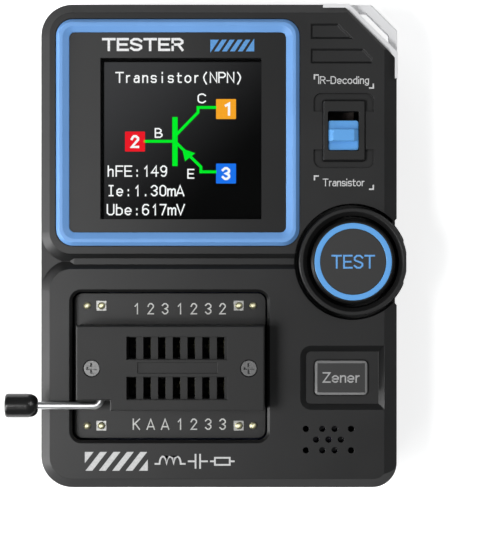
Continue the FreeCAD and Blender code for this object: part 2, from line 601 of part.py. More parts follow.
def make_display_flex():
    """A flat flexible tail that leaves the panel's low edge and turns back to its connector."""
    thick, out, back = "flex_thick", "panel_low-carrier_wall-1.5", "panel_low-0.4"
    high, low = "panel_under", "board_top+0.35"
    path = [("panel_low+1.6", high), (out, high, "1.2"), (out, low, "1.2"), (back, low),
            (back, f"{low}+{thick}"), (f"{out}+{thick}", f"{low}+{thick}", f"1.2-{thick}"),
            (f"{out}+{thick}", f"{high}-{thick}", f"1.2-{thick}"), ("panel_low+1.6", f"{high}-{thick}")]
    body = Body("display_flex")
    body.pad("Tail", f"{PANEL_X}-flex_width/2", [path], "flex_width", plane="YZ_Plane")
    keep("flex_connector", block("FlexConnector", f"{PANEL_X}-flex_width/2-1", f"{PANEL_X}+flex_width/2+1",
                                 back, f"{back}+4.2", "board_top", "board_top+1.2"))


def make_test_button():
    """The collar in the tub, the cap with its coloured ring, and the cap's snap-in stem."""
    x, y = TEST
    body = Body("test_collar")
    section = [("collar_bore", "tub_floor"), ("tub_r-fit", "tub_floor"), ("tub_r-fit", "tub_floor+1.2"),
               ("collar_r", "tub_floor+1.2"), ("collar_r", "collar_top-0.15"),
               ("collar_r-0.15", "collar_top"), ("collar_bore+collar_band", "collar_top"),
               ("collar_bore", "collar_top-0.8")]
    body.turned("Collar", "XZ_Plane", f"-({y})", (x, "0"), section, "V_Axis")
    flat = rect(f"{x}+collar_flat", f"{x}+collar_flat+3", f"{y}-6", f"{y}+6")
    body.pocket("SideFlat", "collar_top+1", [flat], "collar_top+2-tub_floor")

    body = Body("test_button")
    groove = "cap_face-ring_depth"
    section = [("0", "tact_tip"), ("stem_bore", "tact_tip"), ("stem_bore", "stem_end"),
               ("stem_r", "stem_end"), ("stem_r", "cap_face-1.6"), ("cap_r-1.2", "cap_face-1.6"),
               ("cap_r-1.2", "tub_floor+1.2"), ("cap_r", "tub_floor+1.2"), ("cap_r", "cap_face-0.4"),
               ("cap_r-0.4", "cap_face"), ("ring_out_r", "cap_face"), ("ring_out_r", groove),
               ("ring_in_r", groove), ("ring_in_r", "cap_face"), ("0", "cap_face")]
    body.turned("Cap", "XZ_Plane", f"-({y})", (x, "0"), section, "V_Axis")
    hooks = []
    for sign in ("-", "+"):
        middle = f"{x}{sign}((stem_r+hook_r)/2-0.2)"
        hooks.append(square(middle, y, "hook_r-stem_r+0.4", "hook_width"))
    body.pad("Hooks", "stem_end", hooks, "hook_height")

    body = Body("test_button_ring")
    section = rect("ring_in_r+0.02", "ring_out_r-0.02", groove, "cap_face+0.08")
    body.turned("Ring", "XZ_Plane", f"-({y})", (x, "0"), section, "V_Axis")


def make_tact_switch(name, x, y):
    """A square switch body with a round plunger that rides with the button above it."""
    half = "tact_width/2"
    case = block(name + "Case", f"{x}-{half}", f"{x}+{half}", f"{y}-{half}", f"{y}+{half}",
                 "board_top", "tact_top")
    well = rod(name + "Well", x, y, "tact_top-1.6", "tact_top+1", "tact_plunger_r+fit")
    keep(name + "_switch_body", cut(name + "Body", case, well))
    plunger = rod(name + "Plunger", x, y, "tact_top-0.9", "tact_tip", "tact_plunger_r")
    keep(name + "_switch_plunger", plunger)


def make_zener_button():
    """A rectangular cap with a flange under the face and a stem to its switch."""
    body = Body("zener_button")
    gap = "zener_gap"
    cap = (f"zener_left+{gap}", f"zener_right-{gap}", f"zener_low+{gap}", f"zener_high-{gap}")
    flange = ("zener_left-zener_flange", "zener_right+zener_flange", "zener_low-zener_flange",
              "zener_high+zener_flange")
    top, under = "roof_under-fit/2", "roof_under-fit/2-zener_flange"
    body.pad("Cap", under, [rect(*cap, f"zener_r-{gap}")], f"zener_face-({under})")
    body.dress("Chamfer", "CapRim", lambda edge: level_edge(edge, value("zener_face")), "0.4")
    body.pad("Flange", under, [rect(*flange, "0.6")], f"{top}-({under})")
    body.pad("Stem", "tact_tip", [circle(*ZENER, "zener_stem_r")], f"{under}-tact_tip+0.3")


def make_mode_switch():
    """The snap-in frame, the sliding knob and the slide switch under it."""
    body = Body("mode_switch_frame")
    flange_top, flange_under = "roof_under", "roof_under-0.8"
    outline = rect("mode_left", "mode_right", "mode_low", "mode_high", "0.35")
    body.pad("Frame", flange_under, [outline], f"mode_frame_top-({flange_under})")
    body.dress("Chamfer", "FrameEdge", lambda edge: level_edge(edge, value("mode_frame_top")), "0.25")
    wide = rect("mode_left-0.8", "mode_right+0.8", "mode_low-0.8", "mode_high+0.8", "0.5")
    body.pad("Flange", flange_under, [wide], f"{flange_top}-({flange_under})")
    hole = rect("mode_hole_left", "mode_hole_right", "mode_hole_low", "mode_hole_high", "0.3")
    body.pocket("Window", "mode_frame_top", [hole], f"mode_frame_top-({flange_under})")

    x, y = MODE
    body = Body("mode_slider_knob")
    foot = f"{flange_under}-fit-1"
    body.pad("Slab", foot, [square(x, y, "knob_width", "knob_length", "0.4")], f"knob_top-({foot})")
    body.pad("Flange", foot, [square(x, y, "knob_width+1.6", "knob_length", "0.4")], "1")
    body.pad("Ridge", "knob_top", [square(x, y, "knob_width", "ridge_length")], "ridge_top-knob_top")
    body.dress("Chamfer", "RidgeEnds", ridge_end, "0.8")
    body.pad("Leg", "tact_top+0.7", [square(x, y, "3", "3")], f"{foot}-tact_top-0.6")
    body.pocket("LegSocket", "tact_top+0.7", [square(x, y, "1.54", "1.54")], "2.2", flip=True)

    case = block("ModeCase", f"{x}-2.2", f"{x}+2.2", f"{y}+mode_travel/2-4.3", f"{y}+mode_travel/2+4.3",
                 "board_top", "tact_top")
    slot = block("ModeSlot", f"{x}-0.85", f"{x}+0.85", f"{y}-0.85", f"{y}+mode_travel+0.85",
                 "tact_top-1.2", "tact_top+1")
    keep("mode_switch_body", cut("ModeBody", case, slot))
    keep("mode_switch_stem", block("ModeStem", f"{x}-0.75", f"{x}+0.75", f"{y}-0.75", f"{y}+0.75",
                                   "tact_top-1.1", "tact_top+2.8"))


def ridge_end(edge):
    """True for the two short edges on top of the knob's ridge."""
    reach = abs(edge.CenterOfMass.x - value(MODE[0]))
    return level_edge(edge, value("ridge_top")) and reach > value("knob_width/2-0.1")


ZIF_X, ZIF_Y = "(zif_left+zif_right)/2", "(zif_low+zif_high)/2"
ZIF_SCREWS = (("zif_screw_left", ZIF_Y), ("zif_screw_right", ZIF_Y))
ROWS = ("row_low", "row_high")
HEADER_PINS = [(f"bay_x{side}{pin}", f"bay_y{end}pin_row") for side in "-+" for end in "-+"
               for pin in ("pin_out", "pin_in")]


def zif_outline():
    """The lever socket's outline with the notch for the lever's bend."""
    return [("zif_left", "notch_y"), ("notch_x", "notch_y"), ("notch_x", "zif_low"),
            ("zif_right", "zif_low"), ("zif_right", "zif_high"), ("zif_left", "zif_high")]


def make_zif_base():
    """The lower half: contact wells, screw holes, the lever's bearing and room for its crank."""
    body = Body("zif_base")
    body.pad("Block", "card_top", [zif_outline()], "zif_split-card_top")
    wells = [square("cell_x-3*pitch", row, "1.7", "3.4") for row in ROWS]
    well = body.pocket("Wells", "zif_split", wells, "zif_split-card_top-0.6")
    body.row("WellRow", well, 7, "6*pitch")
    feet = [square("cell_x-3*pitch", row, "0.7", "0.7") for row in ROWS]
    foot = body.pocket("PinWays", "card_top+0.6", feet, "0.6")
    body.row("PinWayRow", foot, 7, "6*pitch")
    body.pocket("ScrewWays", "zif_split", [circle(x, y, "zif_screw_r+0.02") for x, y in ZIF_SCREWS],
                "zif_split-zif_screw_tip+0.3")
    bore = "wire_r+shaft_fit"
    body.pocket("Bearing", "-notch_y", [circle("shaft_x", "shaft_z", bore)], "crank_start-notch_y",
                plane="XZ_Plane")
    body.pocket("BearingSlot", "zif_split",
                [rect(f"shaft_x-{bore}", f"shaft_x+{bore}", "notch_y", "crank_start")],
                "zif_split-shaft_z")
    room = rect("lug_left-0.2", "lug_right+crank_throw+0.2", "crank_start-0.05", "crank_end+0.2")
    body.pocket("CrankRoom", "zif_split", [room], "zif_split-lug_under+0.2")


def make_zif_slider():
    """A plate with two rows of cells and an arm whose slotted lug the crank pin drives."""
    body = Body("zif_slider")
    plate = rect("slider_left", "slider_right", "slider_low", "slider_high")
    body.pad("Plate", "slider_under", [plate], "slider_top-slider_under")
    first = [square("cell_x-3*pitch", row, "cell_width", "row_length-0.25") for row in ROWS]
    body.row("CellRow", body.pocket("Cells", "slider_top", first, "slider_top-slider_under"), 7, "6*pitch")
    wide = [rect("cell_x-3*pitch-cell_width/2-0.35", "cell_x-3*pitch", f"{row}-row_length/2+0.125",
                 f"{row}+row_length/2-0.125") for row in ROWS]
    body.pocket("FirstCells", "slider_top", wide, "slider_top-slider_under")
    arm = rect("lug_left", "slider_left", "crank_web_end+0.1", "crank_end-0.05")
    body.pad("Arm", "slider_under", [arm], "1.5")
    lug = rect("lug_left", "lug_right", "crank_web_end+0.1", "crank_end-0.05")
    body.pad("Lug", "lug_under", [lug], "slider_under-lug_under")
    slot = rect("shaft_x-wire_r-shaft_fit", "shaft_x+wire_r+shaft_fit+0.211*crank_throw",
                "shaft_z-wire_r-shaft_fit", "shaft_z+crank_throw+wire_r+shaft_fit")
    body.pocket("CrankSlot", "-crank_web_end", [slot], "crank_end-crank_web_end", plane="XZ_Plane")


def make_zif_cover():
    """The upper half: two long windows over the slider, a plain label recess and screw seats."""
    body = Body("zif_cover")
    body.pad("Block", "zif_split", [zif_outline()], "zif_top-zif_split")
    body.dress("Chamfer", "TopEdge", lambda edge: level_edge(edge, value("zif_top")), "0.2")
    room = rect("slider_left-0.2", "slider_right+crank_throw+0.2", "slider_low-0.15", "slider_high+0.15")
    body.pocket("SliderRoom", "zif_split", [room], "slider_top-zif_split+0.15", flip=True)
    arm = rect("lug_left-0.2", "slider_left", "crank_start-0.15", "crank_end+0.15")
    body.pocket("ArmRoom", "zif_split", [arm], "slider_under-zif_split+1.7", flip=True)
    windows = [rect("zif_window_left", "zif_window_right", f"{row}-row_length/2", f"{row}+row_length/2")
               for row in ROWS]
    body.pocket("Windows", "zif_top", windows, "zif_top-slider_top")
    label = rect("label_left", "label_right", "label_low", "label_high")
    body.pocket("LabelRecess", "zif_top", [label], "0.25")
    heads = [circle(x, y, "zif_head_r+0.15") for x, y in ZIF_SCREWS]
    body.pocket("HeadSeats", "zif_top", heads, "zif_top-zif_head_seat")
    shanks = [circle(x, y, "zif_screw_r+fit") for x, y in ZIF_SCREWS]
    body.pocket("ShankWays", "zif_head_seat", shanks, "zif_head_seat-zif_split")


def make_zif_lever():
    """A bent wire: arm, bend, bearing, one crank web and the crank pin; and the knob on its end."""
    level, crank_level = "shaft_z", "shaft_z+crank_throw"
    arm = bar("LeverArm", "X", "arm_end", "shaft_x-arm_bend_r", "arm_y", level, "wire_r")
    bend = doc.addObject("Part::Torus", "LeverBend")
    bend.setExpression("Radius1", cells("arm_bend_r"))
    bend.setExpression("Radius2", cells("wire_r"))
    bend.Angle3 = 90
    bend.Placement.Rotation = FreeCAD.Rotation(FreeCAD.Vector(0, 0, 1), 270)
    place(bend, "shaft_x-arm_bend_r", "arm_y+arm_bend_r", level)
    journal = bar("LeverJournal", "Y", "arm_y+arm_bend_r", "crank_web_end", "shaft_x", level, "wire_r")
    web = block("LeverWeb", "shaft_x-wire_r", "shaft_x+wire_r", "crank_start+0.05", "crank_web_end",
                level, crank_level)
    pin = bar("LeverPin", "Y", "crank_start+0.05", "crank_end", "shaft_x", crank_level, "wire_r")
    keep("zif_lever", fuse("Lever", arm, bend, journal, web, pin))

    body = Body("zif_lever_knob")
    knob, bore = "lever_knob_r", "wire_r+0.02"
    dome = [(f"lever_knob_right-knob_dome*(1-cos({angle}))",
             f"knob_nose_r+({knob}-knob_nose_r)*sin({angle})") for angle in range(0, 91, 10)]
    section = [("lever_knob_left", "0"), ("arm_end-0.05", "0"), ("arm_end-0.05", bore),
               ("lever_knob_right", bore), *dome,
               ("lever_knob_left", knob, "0.5")]
    body.turned("Knob", "XY_Plane", level, ("0", "arm_y"), section, "H_Axis")


def spread(name, master, spots):
    """Copies of one master shape, made about the origin, as separate solids of one sub-part."""
    doc.recompute()
    item = doc.addObject("Part::Feature", name)
    places = [FreeCAD.Vector(value(x), value(y), 0) for x, y in spots]
    item.Shape = Part.makeCompound([master.Shape.translated(spot) for spot in places])
    return keep(name, item)


def screw(name, shank_r, head_r, seat, head_top, tip):
    """A cross-recess screw about the origin; its head may face up or down."""
    shank = rod(name + "Shank", "0", "0", f"min({seat};{tip})", f"max({seat};{tip})", shank_r)
    head = rod(name + "Head", "0", "0", f"min({seat};{head_top})", f"max({seat};{head_top})", head_r)
    cross = []
    depth = f"0.55*(({head_top})-({seat}))"
    low, high = f"min({head_top};{head_top}-{depth})", f"max({head_top};{head_top}-{depth})"
    for number, (long, wide) in enumerate(((0.66, 0.16), (0.16, 0.66))):
        cross.append(block(f"{name}Cross{number}", f"-{long}*{head_r}", f"{long}*{head_r}",
                           f"-{wide}*{head_r}", f"{wide}*{head_r}", low, high))
    return cut(name, fuse(name + "Blank", shank, head), *cross)


def make_socket_board():
    """The plug-in board under the lever socket, its pads and pins, and the header sockets."""
    contacts = [(f"cell_x+{step}*pitch", row) for step in range(-3, 4) for row in ROWS]
    body = Body("socket_board")
    body.pad("Card", "card_under", [square("bay_x", "bay_y", "card_width", "card_length", "card_r")],
             "card_top-card_under")
    holes = [circle(x, y, "pin_r+0.04") for x, y in HEADER_PINS]
    body.pocket("PinHoles", "card_top", holes, "card_top-card_under")
    first = [circle("cell_x-3*pitch", row, "0.42") for row in ROWS]
    body.row("ContactHoles", body.pocket("FirstHoles", "card_top", first, "card_top-card_under"), 7,
             "6*pitch")

    pad = block("PadPlate", "-pad_size/2", "pad_size/2", "-pad_size/2", "pad_size/2", "card_top",
                "card_top+pad_thick")
    pad = cut("Pad", pad, rod("PadHole", "0", "0", "card_top-1", "card_top+1", "pin_r+0.04"))
    spread("board_pads", pad, [spot for spot in HEADER_PINS if "pin_in" in spot[0]])
    shank = rod("PinShank", "0", "0", "board_top+1.5", "card_top+pad_thick+0.1", "pin_r")
    head = rod("PinHead", "0", "0", "card_top+pad_thick", "card_top+pin_head", "pin_head_r")
    dome = doc.addObject("Part::Sphere", "PinDome")
    dome.setExpression("Radius", cells("pin_head_r*1.25"))
    place(dome, "0", "0", "card_top+pin_head-pin_head_r*1.2")
    round_head = doc.addObject("Part::Common", "PinRoundHead")
    round_head.Base, round_head.Tool = head, dome
    spread("board_pins", fuse("Pin", shank, round_head), HEADER_PINS)

    half = "(pin_out-pin_in)/2"
    header = block("HeaderBlock", "-2.5", "2.5", "-1.25", "1.25", "board_top", "card_under")
    ways = [rod(f"HeaderWay{sign}", f"{sign}{half}", "0", "board_top+1", "card_under+1", "pin_r+0.08")
            for sign in "-+"]
    middle = "(pin_out+pin_in)/2"
    spread("header_sockets", cut("Header", header, *ways),
           [(f"bay_x{side}{middle}", f"bay_y{end}pin_row") for side in "-+" for end in "-+"])

    pin = block("ContactPin", "-0.25", "0.25", "-0.25", "0.25", "card_under-1.2", "card_top+0.8")
    foot = block("ContactFoot", "-0.25", "0.7", "-0.25", "0.25", "card_top+0.6", "card_top+0.9")
    blade = block("ContactBlade", "0.4", "0.7", "-1.2", "1.2", "card_top+0.6", "zif_split-0.6")
    spread("zif_contacts", fuse("Contact", pin, foot, blade), contacts)
    spread("zif_cover_screws", screw("ZifScrew", "zif_screw_r", "zif_head_r", "zif_head_seat",
                                     "zif_head_top", "zif_screw_tip"), ZIF_SCREWS)


# name, x, y, width, length and height of each chip
CHIPS = (("mcu_chip", -9.0, -21.0, 7.0, 7.0, 0.9), ("charger_chip", -12.0, 31.0, 5.0, 4.0, 1.5),
         ("regulator_chip", 2.0, 29.0, 3.0, 3.0, 1.1), ("memory_chip", -19.0, -19.0, 5.0, 4.0, 1.5))


def make_main_board():
    """The main circuit board and what is soldered to it."""
    body = Body("main_board")
    body.pad("Board", "board_low", [case_outline("board_inset")], "board_top-board_low")
    body.pocket("PostHoles", "board_top", posts("screw_r+0.2"), "board_top-board_low")
    for name, x, y, width, length, height in CHIPS:
        keep(name, block(name + "Block", x - width / 2, x + width / 2, y - length / 2, y + length / 2,
                         "board_top", f"board_top+{height}"))
    body = Body("crystal")
    body.pad("Can", "board_top", [square("-1.5", "-21", "4.6", "11", "2.2")], "3.5")
    body.dress("Fillet", "CanEdge", lambda edge: level_edge(edge, value("board_top+3.5")), "0.6")
    core = block("CoilBase", "17", "23", "-17", "-11", "board_top", "board_top+0.8")
    keep("boost_inductor", fuse("Coil", core, rod("CoilCore", "20", "-14", "board_top+0.8", "board_top+3",
                                                  "2.8")))
    chip = block("CapacitorBlock", "-1", "1", "-0.6", "0.6", "board_top", "board_top+1")
    low_row = [(f"-16+{step}*3.4", "-27.5") for step in range(5)]
    spread("chip_capacitors", chip, low_row + [(f"-16+{step}*6.8", "25") for step in range(3)])
    chip = block("ResistorBlock", "-0.4", "0.4", "-0.8", "0.8", "board_top", "board_top+0.5")
    spread("chip_resistors", chip, [(f"-16+{step}*2.2", "-14") for step in range(8)])
    make_ir_receiver()
    make_usb_socket()
    make_tact_switch("test", *TEST)
    make_tact_switch("zener", *ZENER)


def make_ir_receiver():
    """The infrared receiver that looks out through the grille, on three leads."""
    x, y = "grille_x", "grille_y"
    case = block("ReceiverCase", f"{x}-3.5", f"{x}+3.5", f"{y}-2.6", f"{y}+2.6", "board_top+5",
                 "roof_under-1.2")
    lens = doc.addObject("Part::Sphere", "ReceiverLens")
    lens.Radius = 2.3
    place(lens, x, y, "roof_under-0.2-2.3")
    keep("ir_receiver", fuse("Receiver", case, lens))
    leads = [block(f"ReceiverLead{step}", f"{x}+({step}*2.54)-0.25", f"{x}+({step}*2.54)+0.25",
                   f"{y}-0.25", f"{y}+0.25", "board_top", "board_top+5") for step in (-1, 0, 1)]
    group("ir_receiver_leads", leads)


def make_usb_socket():
    """The charging socket: a folded shell with a closed back, and the tongue inside it."""
    level, back = "board_top+usb_height/2", "usb_mouth-usb_length"
    body = Body("usb_c_socket")
    shell = square("usb_x", level, "usb_width", "usb_height", "usb_height/2-0.05")
    inner = square("usb_x", level, "usb_width-0.6", "usb_height-0.6", "usb_height/2-0.35")
    body.pad("Shell", "-usb_mouth", [shell], "usb_length", plane="XZ_Plane")
    body.pocket("Mouth", "-usb_mouth", [inner], "usb_length-0.6", plane="XZ_Plane", flip=True)
    keep("usb_c_tongue", block("UsbTongue", "usb_x-3.3", "usb_x+3.3", f"{back}+0.6", "usb_mouth-1",
                               f"{level}-0.35", f"{level}+0.35"))


def make_power():
    """The pouch cell on its foam, its protection board and the tabs between them."""
    body = Body("battery")
    body.pad("Cell", "cell_under", [rect("cell_left", "cell_right", "cell_low", "cell_high", "1.5")],
             "cell_top-cell_under")
    levels = (value("cell_under"), value("cell_top"))
    body.dress("Fillet", "CellEdges", lambda edge: any(level_edge(edge, level) for level in levels), "0.9")
    keep("battery_foam", block("Foam", "cell_left+2", "cell_right-2", "cell_low+3", "cell_high-3",
                               "floor_top", "cell_under"))
    keep("battery_board", block("Guard", "-12", "12", "cell_high+0.3", "cell_high+3.5",
                                "guard_under", "guard_top"))
    tabs = [block(f"Tab{number}", f"{x}-1.5", f"{x}+1.5", "cell_high", "cell_high+2.2", "guard_top",
                  "guard_top+tab_thick") for number, x in enumerate((-8, 8))]
    group("battery_tabs", tabs)


def make_back():
    """The four case screws and the blank plate on the back."""
    spread("case_screws", screw("CaseScrew", "screw_r", "screw_head_r", "screw_seat",
                                "screw_seat-screw_head_height", "screw_tip"), POSTS)
    body = Body("rear_label")
    plate = square("0", "plate_y", "plate_width", "plate_length", "plate_r")
    body.pad("Plate", "0.05", [plate], "plate_seat-0.05")


def write_parts():
    """Check every object of the document and write one file for each sub-part."""
    doc.recompute()
    failed = [item.Name for item in doc.Objects if {"Invalid", "Error"} & set(item.State)]
    for name, item in pieces.items():
        if item.Shape.isNull() or not item.Shape.isValid() or not item.Shape.Solids:
            failed.append(name)
    if failed:
        raise RuntimeError("these failed: " + ", ".join(failed))
    os.makedirs("parts", exist_ok=True)
    for name, item in pieces.items():
        item.Shape.exportStep(f"parts/{name}.step")
    print(len(pieces), "sub-parts written")


make_rear_cover()
make_front_cover()
make_lanyard_loop()
make_screen()
make_test_button()
make_zener_button()
make_mode_switch()
make_zif_base()
make_zif_slider()
make_zif_cover()
make_zif_lever()
make_socket_board()
make_main_board()
make_power()
make_back()
write_parts()
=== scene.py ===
"""Looks for a pocket component tester: finishes, printing, the lit display and the studio around it."""

import math

import bpy
import numpy as np
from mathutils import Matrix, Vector


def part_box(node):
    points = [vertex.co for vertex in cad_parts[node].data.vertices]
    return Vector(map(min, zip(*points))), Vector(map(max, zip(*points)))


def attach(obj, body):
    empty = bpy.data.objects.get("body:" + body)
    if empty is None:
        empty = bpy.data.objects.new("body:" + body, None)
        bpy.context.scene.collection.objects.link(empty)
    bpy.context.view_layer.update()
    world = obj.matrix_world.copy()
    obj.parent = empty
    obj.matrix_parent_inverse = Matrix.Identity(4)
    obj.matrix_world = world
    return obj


bl_info = {
    "name": "Component Tester Looks",
    "version": (1, 0, 0),
    "blender": (4, 5, 0),
    "location": "View3D > Sidebar > Tester",
    "description": "Finishes, printing and display picture for a component tester",
    "category": "Object",
}

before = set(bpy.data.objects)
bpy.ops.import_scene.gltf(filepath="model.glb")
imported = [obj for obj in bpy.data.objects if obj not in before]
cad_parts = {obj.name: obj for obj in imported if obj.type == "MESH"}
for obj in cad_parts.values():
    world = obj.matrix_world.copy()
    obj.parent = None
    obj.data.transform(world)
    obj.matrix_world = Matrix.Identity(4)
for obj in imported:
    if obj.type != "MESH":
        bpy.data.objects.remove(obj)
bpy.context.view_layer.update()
MM = 0.001


# ---------------------------------------------------------------- places taken from the CAD parts in model.glb

def span(node):
    """Low and high corners of a CAD node, in millimetres."""
    low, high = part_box(node)
    return np.array(low) / MM, np.array(high) / MM


def centre(node):
    """Middle of a CAD node, in millimetres."""
    low, high = span(node)
    return (low + high) / 2


FACE = span("front_cover")[1][2]
LENS_LOW, LENS_HIGH = span("screen_lens")
GASKET_LOW, GASKET_HIGH = span("display_gasket")
PANEL_TOP = span("display_panel")[1][2]
CARD_LOW, CARD_HIGH = span("socket_board")
ZENER_LOW, ZENER_HIGH = span("zener_button")
RING_LOW, RING_HIGH = span("test_button_ring")
CAP_TOP = span("test_button")[1][2]
TEST_CENTRE = centre("test_button_ring")
MODE_CENTRE = centre("mode_switch_frame")
CELLS_CENTRE = centre("zif_contacts")
ARM_Y = centre("zif_lever_knob")[1]

# Sizes in millimetres that the CAD parts don't hold
GASKET_LAP = 1.2        # how far the gasket covers the display on each side
FLANGE_REACH = 1.06     # how far the oblong button's hidden flange stands out from its top
RIM_LINE = 0.42         # width of the oblong button's printed rim
PITCH = 2.54            # from one cell of the socket to the next
INK = 0.025             # thickness of a printed film
LAYER = 0.004           # step between strokes that cross, so that their tops never meet
FLOOR_SIDE = 2000.0     # length of the floor's sides
FLOOR_DROP = 0.02       # gap between the rest face and the floor
WINDOW_LOW, WINDOW_HIGH = GASKET_LOW[:2] + GASKET_LAP, GASKET_HIGH[:2] - GASKET_LAP

# Words beside the slide switch: piece, text, left side, baseline and width, from the switch's centre
SWITCH_WORDS = (("label_infrared", "IR-Decoding", -4.55, 8.17, 8.9),
                ("label_transistor", "Transistor", -3.78, -9.79, 7.33))
SWITCH_LETTER = 1.35

# Corner marks around those words: place from the switch's centre, and 1 or -1 for the way they open
SWITCH_MARKS = ((-5.35, 9.86, 1), (5.24, 7.33, -1), (-5.35, -7.86, 1), (5.24, -10.43, -1))
MARK_ARM, MARK_LINE = 0.9, 0.26

# The display's text: letters, left side and baseline from the window's corner, height and width
DISPLAY_LINES = (("Transistor(NPN)", 2.5, 24.1, 1.95, 22.6), ("hFE:149", 0.9, 7.55, 2.0, 10.9),
                 ("|e:1.30mA", 1.0, 4.1, 2.0, 13.7), ("Ube:617mV", 0.9, 0.75, 2.0, 13.9),
                 ("C", 17.0, 20.5, 1.75, 1.5), ("B", 9.45, 14.4, 1.75, 1.4), ("E", 15.2, 7.2, 1.75, 1.25))

# The drawn transistor, from the window's corner: its three leads, its bar and its arrow head
DISPLAY_WIRES = (((7.75, 13.8), (12.6, 13.8)),
                 ((13.3, 15.0), (17.09, 18.9), (17.09, 19.77), (20.1, 19.77)),
                 ((13.3, 13.5), (17.6, 9.3), (17.6, 8.42), (20.1, 8.42)))
DISPLAY_BAR = ((12.56, 9.44), (13.49, 9.44), (13.49, 18.08), (12.56, 18.08))
DISPLAY_ARROW = ((14.3, 12.5), (14.8, 10.3), (16.6, 11.7))
WIRE_LINE = 0.5

# Coloured squares at the leads' ends: numeral, low left corner from the window's corner, colour
DISPLAY_LEADS = (("!", (20.27, 17.73), (0.90, 0.36, 0.02)), ("2", (4.22, 12.0), (0.80, 0.01, 0.02)),
                 ("3", (20.27, 6.36), (0.01, 0.16, 0.80)))
LEAD_SIDE, LEAD_CORNER = 3.52, 0.12

# Soft lights: name, place and side in metres, and the setting that holds their power
SOFTBOXES = (("sheen_left", (-0.16, -0.03, 0.42), 0.10, "sheen"),
             ("edge_left", (-0.50, -0.14, 0.10), 0.25, "edge"),
             ("overhead_right", (0.42, 0.30, 0.75), 0.45, "top"),
             ("overhead_left", (-0.42, -0.35, 0.75), 0.45, "top"))


# ---------------------------------------------------------------- sizes and colours a user would change

def colour(name, description, default):
    """A colour property in linear light."""
    return bpy.props.FloatVectorProperty(name=name, description=description, default=default,
                                         subtype="COLOR", size=3, min=0.0, max=1.0)


def number(name, description, default, unit="NONE"):
    """A plain number property."""
    return bpy.props.FloatProperty(name=name, description=description, default=default, unit=unit,
                                   precision=5)


class CaseLooks(bpy.types.PropertyGroup):
    """Finish of the shells and the corner loop."""
    plastic: colour("Case", "Colour of the two shells", (0.011, 0.011, 0.0112))
    roughness: number("Roughness", "Roughness of the shells", 0.39)
    grain: number("Grain", "Size of the moulded grain", 0.16 * MM, "LENGTH")
    loop: colour("Loop", "Colour of the corner loop", (0.80, 0.80, 0.81))
    ink: colour("Ink", "Colour of the printing on the face", (0.60, 0.60, 0.60))


class ScreenLooks(bpy.types.PropertyGroup):
    """Finish of the screen frame and what the display shows."""
    bezel: colour("Frame", "Colour of the screen frame", (0.155, 0.345, 0.70))
    glow: number("Brightness", "Brightness of the display", 1.15)
    wire: colour("Wires", "Colour of the drawn transistor", (0.0, 0.80, 0.02))
    words: colour("Words", "Colour of the display's words", (0.92, 0.92, 0.92))
    accent: colour("Accent", "Colour of the printed bars on the lens", (0.10, 0.32, 0.68))


class KeyLooks(bpy.types.PropertyGroup):
    """Finish of the buttons and the slide switch."""
    cap: colour("Caps", "Colour of the round button and the oblong one", (0.026, 0.026, 0.0262))
    accent: colour("Accent", "Colour of the ring, the word on the button and the slide knob",
                   (0.12, 0.37, 0.78))
    grey: colour("Grey", "Colour of the oblong button's printing", (0.27, 0.27, 0.27))


class SocketLooks(bpy.types.PropertyGroup):
    """Finish of the lever socket and its board."""
    nylon: colour("Socket", "Colour of the socket's two halves", (0.008, 0.008, 0.008))
    mask: colour("Board", "Colour of the board's solder mask", (0.018, 0.018, 0.018))
    chrome: colour("Chrome", "Colour of the lever's wire", (0.97, 0.97, 0.98))
    marking: colour("Marking", "Colour of the printing on the board", (0.72, 0.72, 0.70))
    gold: colour("Gold", "Colour of the pins", (0.95, 0.90, 0.60))


class StageLooks(bpy.types.PropertyGroup):
    """Camera, floor and lights."""
    eye_x: number("Eye X", "Camera's place across the tester", 4.754 * MM, "LENGTH")
    eye_y: number("Eye Y", "Camera's place along the tester", -4.244 * MM, "LENGTH")
    eye_z: number("Eye height", "Camera's height over the rest face", 422 * MM, "LENGTH")
    shown: number("Shown height", "Height of the view at the face", 94.74 * MM, "LENGTH")
    sheen: number("Sheen", "Power of the soft light high at the left", 0.85, "POWER")
    edge: number("Edge", "Power of the soft light low at the left", 2.6, "POWER")
    top: number("Overhead", "Power of each overhead soft light", 1.9, "POWER")
    world: number("Surround", "Brightness of the surroundings", 0.16)
    backdrop: number("Backdrop", "Brightness of the surroundings as the camera sees them", 0.85)
    table: number("Table", "Brightness of the lit table", 0.70)


# ---------------------------------------------------------------- shader maths

class Signal:
    """An output socket that takes Python arithmetic: each operator adds one Math node."""

    def __init__(self, shader, socket):
        self.shader, self.socket = shader, socket

    def math(self, operation, *values):
        """A Math node of the operation on the values."""
        return self.shader.node("Math", {"operation": operation}, dict(enumerate(values)))

    def __add__(self, other):
        return self.math("ADD", self, other)

    def __sub__(self, other):
        return self.math("SUBTRACT", self, other)

    def __rsub__(self, other):
        return self.math("SUBTRACT", other, self)

    def __mul__(self, other):
        return self.math("MULTIPLY", self, other)

    def __truediv__(self, other):
        return self.math("DIVIDE", self, other)

    def __gt__(self, other):
        return self.math("GREATER_THAN", self, other)

    def __lt__(self, other):
        return self.math("LESS_THAN", self, other)

    def __or__(self, other):
        return self.math("MAXIMUM", self, other)

    def distance(self):
        """The value without its sign."""
        return self.math("ABSOLUTE", self)

    __radd__, __rmul__ = __add__, __mul__


